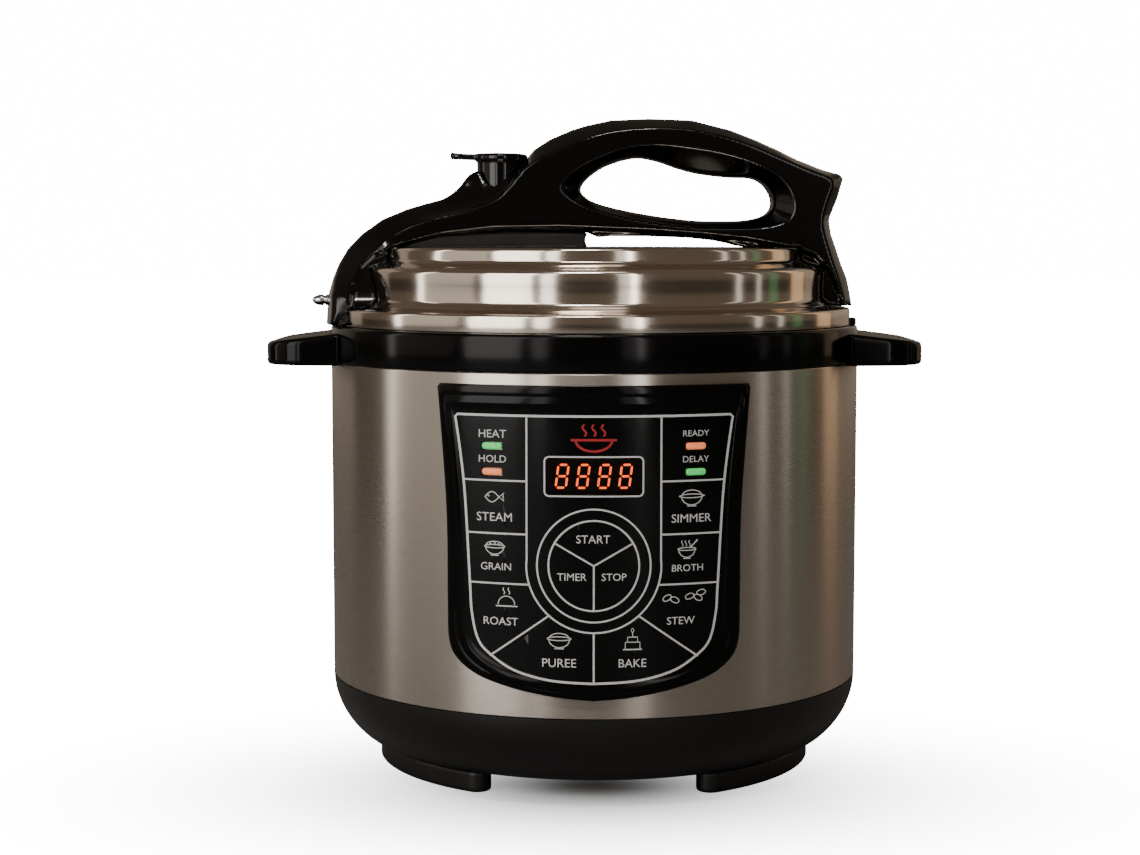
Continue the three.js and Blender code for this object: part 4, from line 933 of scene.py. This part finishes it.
def words(text, x0, x1, z0, z1):
    """Plain capitals fitted into a box, as faces."""
    curve = bpy.data.curves.new("word", "FONT")
    curve.body = text
    curve.resolution_u = 3
    holder = link(bpy.data.objects.new("word", curve))
    mesh = holder.to_mesh()
    spots = np.array([v.co[:2] for v in mesh.vertices])
    low = spots.min(axis=0)
    high = spots.max(axis=0)
    scale = min((x1 - x0) / (high - low)[0], (z1 - z0) / (high - low)[1])
    spots = (spots - (low + high) / 2) * scale + ((x0 + x1) / 2, (z0 + z1) / 2)
    out = [[tuple(spots[k]) for k in face.vertices] for face in mesh.polygons]
    holder.to_mesh_clear()
    bpy.data.objects.remove(holder)
    bpy.data.curves.remove(curve)
    return out


LINE = 0.82
film_line = [(x - 0.5 * (x > 0), z + (-0.5 if z > 180 else 0.5 * (z < 90))) for x, z in FILM_SIDE]
fixed = stroke(whole_run(film_line), 1.1, closed=True)
arch = [(31.1, 186.6)] + [(31.1, 186.6 - 2 * k) for k in range(1, 34)]
arch += circle(0, DIAL[1], 31.3, 0, -180, 60) + [(-x, z) for x, z in arch[::-1]]
fixed += stroke(arch, LINE)
for side in (-1, 1):
    for z, inner, outer in ((157, 31.1, 60.9), (132.3, 31.1, 59.4), (108.9, 29.9, 57.9)):
        fixed += stroke([(side * inner, z), (side * outer, z)], LINE)
    fixed += stroke([(side * 20.9, 94.6), (side * 48.6, 74.6)], LINE)
fixed += stroke([(0, 86.8), (0, 63.1)], LINE)
for r in (26.3, 21.0):
    fixed += stroke(circle(*DIAL, r, steps=96), 0.8, closed=True)
for a in (math.pi / 6, math.pi * 5 / 6, math.pi * 3 / 2):
    fixed += stroke([DIAL, (20.8 * math.cos(a), DIAL[1] + 20.8 * math.sin(a))], 0.75)
fixed += stroke(rounded_box(-22.8, 22.8, 150.4, 168.6, 2.2, apart=2), 0.75, closed=True)
fixed += words("HEAT", -53.4, -40.6, 176.9, 180.6)
fixed += words("HOLD", -53.4, -40.6, 165.2, 168.9)
fixed += words("READY", 41.2, 53.4, 177.2, 180.9)
fixed += words("DELAY", 41.2, 53.4, 165.2, 168.9)
ink_mesh("panel_print", fixed, ink, "cooker")

THIN = 0.42


def wave(x, z, tall, sway=0.5):
    return [(x + sway * math.sin(k / 8 * math.pi * 2), z + tall * k / 8) for k in range(9)]


def bowl_sign(x, z, wide, tall):
    rim = circle(x, z, wide / 2, 0, 360, 28, 0.16)
    cup = circle(x, z, wide / 2 * 0.9, 180, 360, 20, tall / (wide / 2 * 0.9))
    foot = [(x - wide * 0.2, z - tall - 0.5), (x + wide * 0.2, z - tall - 0.5)]
    return stroke(rim, THIN, True) + stroke(cup, THIN) + stroke(foot, THIN)


fish = []
for half in (2.4, -2.4):
    back = [(-50.6 + 6.6 * t / 12, 149.3 + half * math.sin(math.pi * t / 12)) for t in range(13)]
    fish += stroke(back, THIN)
fish += stroke([(-44, 149.3), (-41.6, 151.2), (-42.1, 149.3), (-41.6, 147.4)], THIN, True)
fish += stroke(circle(-48.9, 149.8, 0.35, steps=10), 0.3, True)
rice = bowl_sign(-46.1, 126.2, 9.6, 3.7)
rice += stroke(circle(-46.1, 126.4, 4.2, 12, 168, 14, 0.5), THIN)
for x, z in ((-48, 127.3), (-46, 127.9), (-44.2, 127.2)):
    rice += stroke(circle(x, z, 0.4, steps=8), 0.3, True)
roast = stroke([(-45.6, 98.4), (-35.4, 98.4)], 0.6)
roast += stroke(circle(-40.6, 99.2, 3.9, 0, 180, 18, 1.0), THIN)
roast += stroke(wave(-41.8, 104, 3, 0.4), THIN) + stroke(wave(-39.4, 104, 3, 0.4), THIN)
puree = bowl_sign(-16, 84, 11, 4.2) + stroke(circle(-16, 84.2, 4.6, 10, 170, 14, 0.5), THIN)
bake = stroke([(13.6, 79), (22.4, 79)], 0.6)
bake += stroke([(14.6, 79.4), (14.6, 82.4), (21.4, 82.4), (21.4, 79.4)], THIN)
bake += stroke([(15.7, 82.8), (15.7, 84.8), (20.3, 84.8), (20.3, 82.8)], THIN)
bake += stroke([(18, 85), (18, 87)], THIN) + stroke(circle(18, 88, 0.6, steps=10, squeeze=1.5), 0.3, True)
BEANS = ((34, 102.6, 30), (37.6, 101.6, -25), (44.6, 103, 20), (48.6, 102.2, -30), (50, 104.6, 10))
stew = []
for x, z, turn in BEANS:
    a = math.radians(turn)
    oval = circle(0, 0, 2.1, steps=18, squeeze=0.6)
    oval = [(x + p * math.cos(a) - q * math.sin(a), z + p * math.sin(a) + q * math.cos(a)) for p, q in oval]
    stew += stroke(oval, THIN, True)
broth = bowl_sign(43.2, 125.2, 8.6, 3.9)
broth += stroke([(44.6, 125.6), (48.2, 129.4)], 0.6)
for x in (41, 42.7, 44.4):
    broth += stroke(wave(x, 126.6, 2.6, 0.35), 0.34)
simmer = bowl_sign(45.4, 149.9, 10.8, 4.2)
simmer += stroke(circle(45.4, 150.1, 4.6, 10, 170, 14, 0.55), THIN)
simmer += stroke([(39.4, 149.9), (40.2, 149.9)], 0.6) + stroke([(50.6, 149.9), (51.4, 149.9)], 0.6)
SIGNS = {
    "key_fish": (fish, "STEAM", (-54.6, -37.8, 138, 142)),
    "key_rice": (rice, "GRAIN", (-52.6, -38.4, 114.8, 118.8)),
    "key_meat": (roast, "ROAST", (-51.4, -35.2, 89.2, 93.2)),
    "key_baby_food": (puree, "PUREE", (-24, -8, 70.6, 74.6)),
    "key_cake": (bake, "BAKE", (11.6, 24.4, 70.6, 74.6)),
    "key_beans": (stew, "STEW", (34, 47, 89.8, 93.8)),
    "key_soup": (broth, "BROTH", (36.2, 50.8, 114.4, 118.4)),
    "key_porridge": (simmer, "SIMMER", (36, 54.6, 137.6, 141.6)),
    "key_texture": ([], "START", (-8.6, 8, 128.6, 132.4)),
    "key_preset": ([], "TIMER", (-17, -3.2, 111.2, 114.6)),
    "key_cancel": ([], "STOP", (3.4, 15.4, 111.2, 114.6)),
}
for node, (sign, text, area) in SIGNS.items():
    ink_mesh(node + "_print", sign + words(text, *area), ink, node)

# A small red mark over the display: a bowl under three curls of steam.
red_ink = printed("red_ink", (0.30, 0.008, 0.012), (0.48, 0.02, 0.025), 400, 0.4)
mark = stroke(circle(0, 176.4, 8.4, 180, 360, 30, 0.62), 1.1)
mark += stroke([(-10.6, 176.4), (10.6, 176.4)], 1.1)
for x in (-4.4, 0, 4.4):
    mark += stroke(wave(x, 178.2, 5.4, 0.9), 0.9)
ink_mesh("panel_mark", mark, red_ink, "cooker")

# ---- Display ---------------------------------------------
# Behind a smoky window, let flush into the film, sits a four digit display. Its bars of light are
# orange-red and lean a little to the right, and all of them are on.
smoke = moulded("smoky_window", (0.003, 0.0015, 0.0015), 0.1, 0.03, 3, 0.006, 0.25)
pane = rounded_box(-22.4, 22.4, 150.8, 168.2, 1.8)
window = on_wall("display_window_pane", [(pane, 137.5), (pane, 138.98)], smoke, "cooker", cap=True)
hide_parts("display_window")


def glowing(name, colour, edge, strength):
    """Coloured plastic lit from behind, a little unevenly."""
    made, tree, shader, place = material(name)
    tone = tinted(tree, noise(tree, place, 420), edge, colour, 0.32, 0.66)
    feed(tree, shader, {
        "Base Color": tone,
        "Emission Color": tone,
        "Emission Strength": strength,
        "Roughness": 0.3,
    })
    return made


digit_glow = glowing("digit_glow", (1.0, 0.12, 0.02), (0.92, 0.07, 0.01), 1.6)
SLANT = 0.13
DIGIT_Z = 159.7
DIGIT_HALF = (2.35, 5.3)


def slanted(points, centre):
    return [(centre + x + (z - DIGIT_Z) * SLANT, z) for x, z in points]


digits = []
w, h = DIGIT_HALF
for centre in (-14.6, -4.9, 4.9, 14.6):
    for z in (DIGIT_Z - h, DIGIT_Z, DIGIT_Z + h):
        bar = [(-w + 0.5, z), (-w + 1, z - 0.5), (w - 1, z - 0.5)]
        bar += [(w - 0.5, z), (w - 1, z + 0.5), (-w + 1, z + 0.5)]
        digits.append(slanted(bar, centre))
    for x in (-w, w):
        for low_z, high_z in ((DIGIT_Z - h + 0.5, DIGIT_Z - 0.5), (DIGIT_Z + 0.5, DIGIT_Z + h - 0.5)):
            bar = [(x, low_z), (x + 0.5, low_z + 0.5), (x + 0.5, high_z - 0.5)]
            bar += [(x, high_z), (x - 0.5, high_z - 0.5), (x - 0.5, low_z + 0.5)]
            digits.append(slanted(bar, centre))
ink_mesh("display_digits", digits, digit_glow, "cooker", FILM_R + 0.02)

# ---- Indicator lamps -------------------------------------
# Four round-ended lenses of coloured plastic stand just proud of the film. They are lit from
# behind, two green and two orange.
green_glow = glowing("green_lens", (0.09, 0.68, 0.17), (0.06, 0.58, 0.13), 0.55)
orange_glow = glowing("orange_lens", (0.95, 0.28, 0.10), (0.88, 0.23, 0.08), 0.55)
LAMPS = {
    "lamp_left_upper": (-47.3, 173, green_glow, "lamp_green"),
    "lamp_left_lower": (-47.3, 161, orange_glow, "lamp_orange"),
    "lamp_right_upper": (47.3, 173, orange_glow, "lamp_orange"),
    "lamp_right_lower": (47.3, 161, green_glow, "lamp_green"),
}
LENS_SHAPE = ((0, 137.6), (0, 139.15), (0.3, 139.4), (0.7, 139.5))
for node, (x, z, look, colour) in LAMPS.items():
    area = (x - 4.6, x + 4.6, z - 1.5, z + 1.5, 1.2)
    loops = [(rounded_box(*area, inset), r) for inset, r in LENS_SHAPE]
    lens = on_wall(node + "_lens", loops, look, "cooker", cap=True, angle=60)
    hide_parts(node)

# ---- Condensation cup and its rail -----------------------
# A small matt black cup hangs at the back under the collar and catches the water that runs off
# the lid. It lifts off a rail that is screwed to the drum.
satin_black = moulded("satin_black_plastic", (0.003, 0.0028, 0.0028), 0.34, 0.06, 0.7, 0.03)


def dress(node, look):
    """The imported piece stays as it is, and is given its material."""
    mesh = bpy.data.objects[node].data
    mesh.materials.clear()
    mesh.materials.append(look)


CUP_BOTTOM = 158


def cup_field(x, y, z):
    edge = np.maximum(np.abs(x) - 13, 0)
    back = np.maximum(y - 157.8, 0)
    taper = (z - CUP_BOTTOM) * 0.03
    plan = np.where(y > 150, np.hypot(edge, back) - 4.65 - taper, np.abs(x) - 17.65 - taper)
    plan = np.maximum(plan, 137.2 - y)
    outside = meet(plan, np.abs(z - CUP_BOTTOM - 22.5) - 22.5, 1.6)
    hollow = np.maximum(plan + 1.6, np.maximum(145.4 - y, CUP_BOTTOM + 2 - z))
    lip = meet(np.maximum(plan - 0.9, 143.8 - y), np.abs(z - 201.8) - 1.1, 0.7)
    ridge = np.maximum(np.abs(z - 170) - 0.5, np.maximum(plan - 0.5, 146 - y))
    neck = np.maximum(np.abs(x) - 13.4, y - 139.9)
    head = np.maximum(np.abs(x) - 15.9, np.abs(y - 140.8) - 1.4)
    groove = np.maximum(np.minimum(neck, head), z - 201.6)
    cup = join(np.maximum(outside, -hollow), np.maximum(lip, -hollow), 0.6)
    cup = join(cup, np.maximum(ridge, -hollow), 0.4)
    return np.maximum(np.maximum(cup, -groove), DRUM_R + 0.6 - np.hypot(x, y))


low = (-20, 136, 157)
high = (20, 165, 204)
cup = carved("condensation_cup_tub", cup_field, low, high, 0.7, satin_black, "cup")
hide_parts("condensation_cup")
dress("cup_bracket", matt_black)

# ---- Power inlet -----------------------------------------
# A framed socket low on the back takes the lead. Its three flat pins are plated brass.
INLET_X = -45
INLET_Z = 66
INLET_FACE = 137.5


def inlet_field(x, y, z):
    dx = np.abs(x - INLET_X)
    dz = np.abs(z - INLET_Z)
    frame = meet(np.hypot(np.maximum(dx - 17, 0), np.maximum(dz - 14, 0)) - 3, y - INLET_FACE, 0.9)
    frame = np.maximum(frame, DRUM_R + 0.3 - np.hypot(x, y))
    body = np.maximum(np.maximum(dx - 16, dz - 13), np.maximum(y - INLET_FACE, 119 - y))
    hollow = meet(meet(dx - 13, dz - 10, 2.5), 123 - y, 0.3)
    return np.maximum(np.minimum(frame, body), -hollow)


low = (-66, 118.6, 48)
high = (-24, 138, 84)
inlet = carved("power_inlet_socket", inlet_field, low, high, 0.7, matt_black, "cooker")
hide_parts("power_inlet")


def worked_metal(name, tone, rough, scale):
    """Pressed or cast metal, with fine scatter in its tone and gloss."""
    made, tree, shader, place = material(name)
    cloud = noise(tree, place, scale, 5)
    dark = [c * 0.85 for c in tone]
    light = [c * 1.1 for c in tone]
    feed(tree, shader, {
        "Base Color": tinted(tree, cloud, dark, light, 0.3, 0.7),
        "Roughness": ranged(tree, cloud, rough * 0.7, rough * 1.3),
        "Normal": bumps(tree, cloud, 0.25, 0.00005),
        "Metallic": 1,
    })
    return made


brass = worked_metal("plated_brass", (0.62, 0.47, 0.22), 0.3, 300)
dress("inlet_terminals", brass)

# ---- Pot, outer pot and locking ring ---------------------
# The inner pot is drawn from steel sheet and polished inside. It stands in a pressed outer pot
# that carries a ring with six lugs, which the lid's lugs turn under.
pot_steel = brushed("drawn_pot_steel", (0.52, 0.51, 0.49), 0.24, 0.08, 800, 0.5)
pressed_steel = worked_metal("pressed_steel", (0.42, 0.41, 0.40), 0.34, 120)
inner_pot = turned("inner_pot_drawn", [
    (0, 66), (99.5, 66), (111.5, 66.2, 12), (111.5, 202.5, 1.0), (117.5, 202.5, 0.6), (117.5, 204, 0.6),
    (110, 204, 1.2), (110, 67.8, 11), (99.5, 67.5), (0, 67.5),
], pot_steel, "inner_pot", sides=160)
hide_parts("inner_pot")
dress("outer_pot", pressed_steel)
dress("locking_ring", pressed_steel)

# ---- Underside of the lid --------------------------------
# Under the lid a rim with six lugs stands round a flat cover, and a silicone ring in the rim
# closes on the pot. The exhaust pipe and the float pin come through the cover.
dress("lid_rim", pressed_steel)
dress("inner_cover", pot_steel)
silicone, tree, shader, place = material("milky_silicone")
cloud = noise(tree, place, 60, 4)
feed(tree, shader, {
    "Base Color": tinted(tree, cloud, (0.60, 0.59, 0.56), (0.74, 0.73, 0.70)),
    "Roughness": ranged(tree, cloud, 0.42, 0.62),
    "Subsurface Weight": 0.25,
    "Subsurface Scale": 0.003,
})
seal = turned("sealing_ring_moulding", [
    (107, 207.4, 0.8), (110, 204.4, 0.8), (110, 214.7, 0.6), (114.6, 214.7, 0.6), (114.6, 204.4, 0.6),
    (117.6, 205.4, 0.6), (117.6, 218.7, 1.0), (107, 218.7, 1.0),
], silicone, "lid_carrier", sides=160)
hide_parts("sealing_ring")
turned_steel = worked_metal("turned_steel", (0.50, 0.49, 0.48), 0.22, 200)
for node in ("exhaust_pipe", "valve_shield", "float_pin"):
    dress(node, turned_steel)

# ---- Heater and sensor -----------------------------------
# The heating plate is cast aluminium on a pressed support. A sprung sensor can comes up through
# its middle and touches the pot.
cast_aluminium = worked_metal("cast_aluminium", (0.66, 0.66, 0.67), 0.42, 260)
for node in ("heating_plate", "sensor_seat", "temperature_sensor"):
    dress(node, cast_aluminium)
spring_steel = worked_metal("spring_steel", (0.36, 0.36, 0.37), 0.26, 500)
for node in ("plate_support", "sensor_spring", "lock_spring"):
    dress(node, spring_steel)

# ---- Base cover, boards and switch -----------------------
# A slotted cover closes the base. Behind it are the power board and the pressure switch; the
# control board with its display stands behind the keys.
dress("bottom_cover", matt_black)
dress("pressure_switch", satin_black)
board_green = moulded("board_green", (0.012, 0.085, 0.035), 0.38, 0.06, 1.2, 0.02)
dress("power_board", board_green)
dress("control_board", board_green)
dress("display_module", smoke)
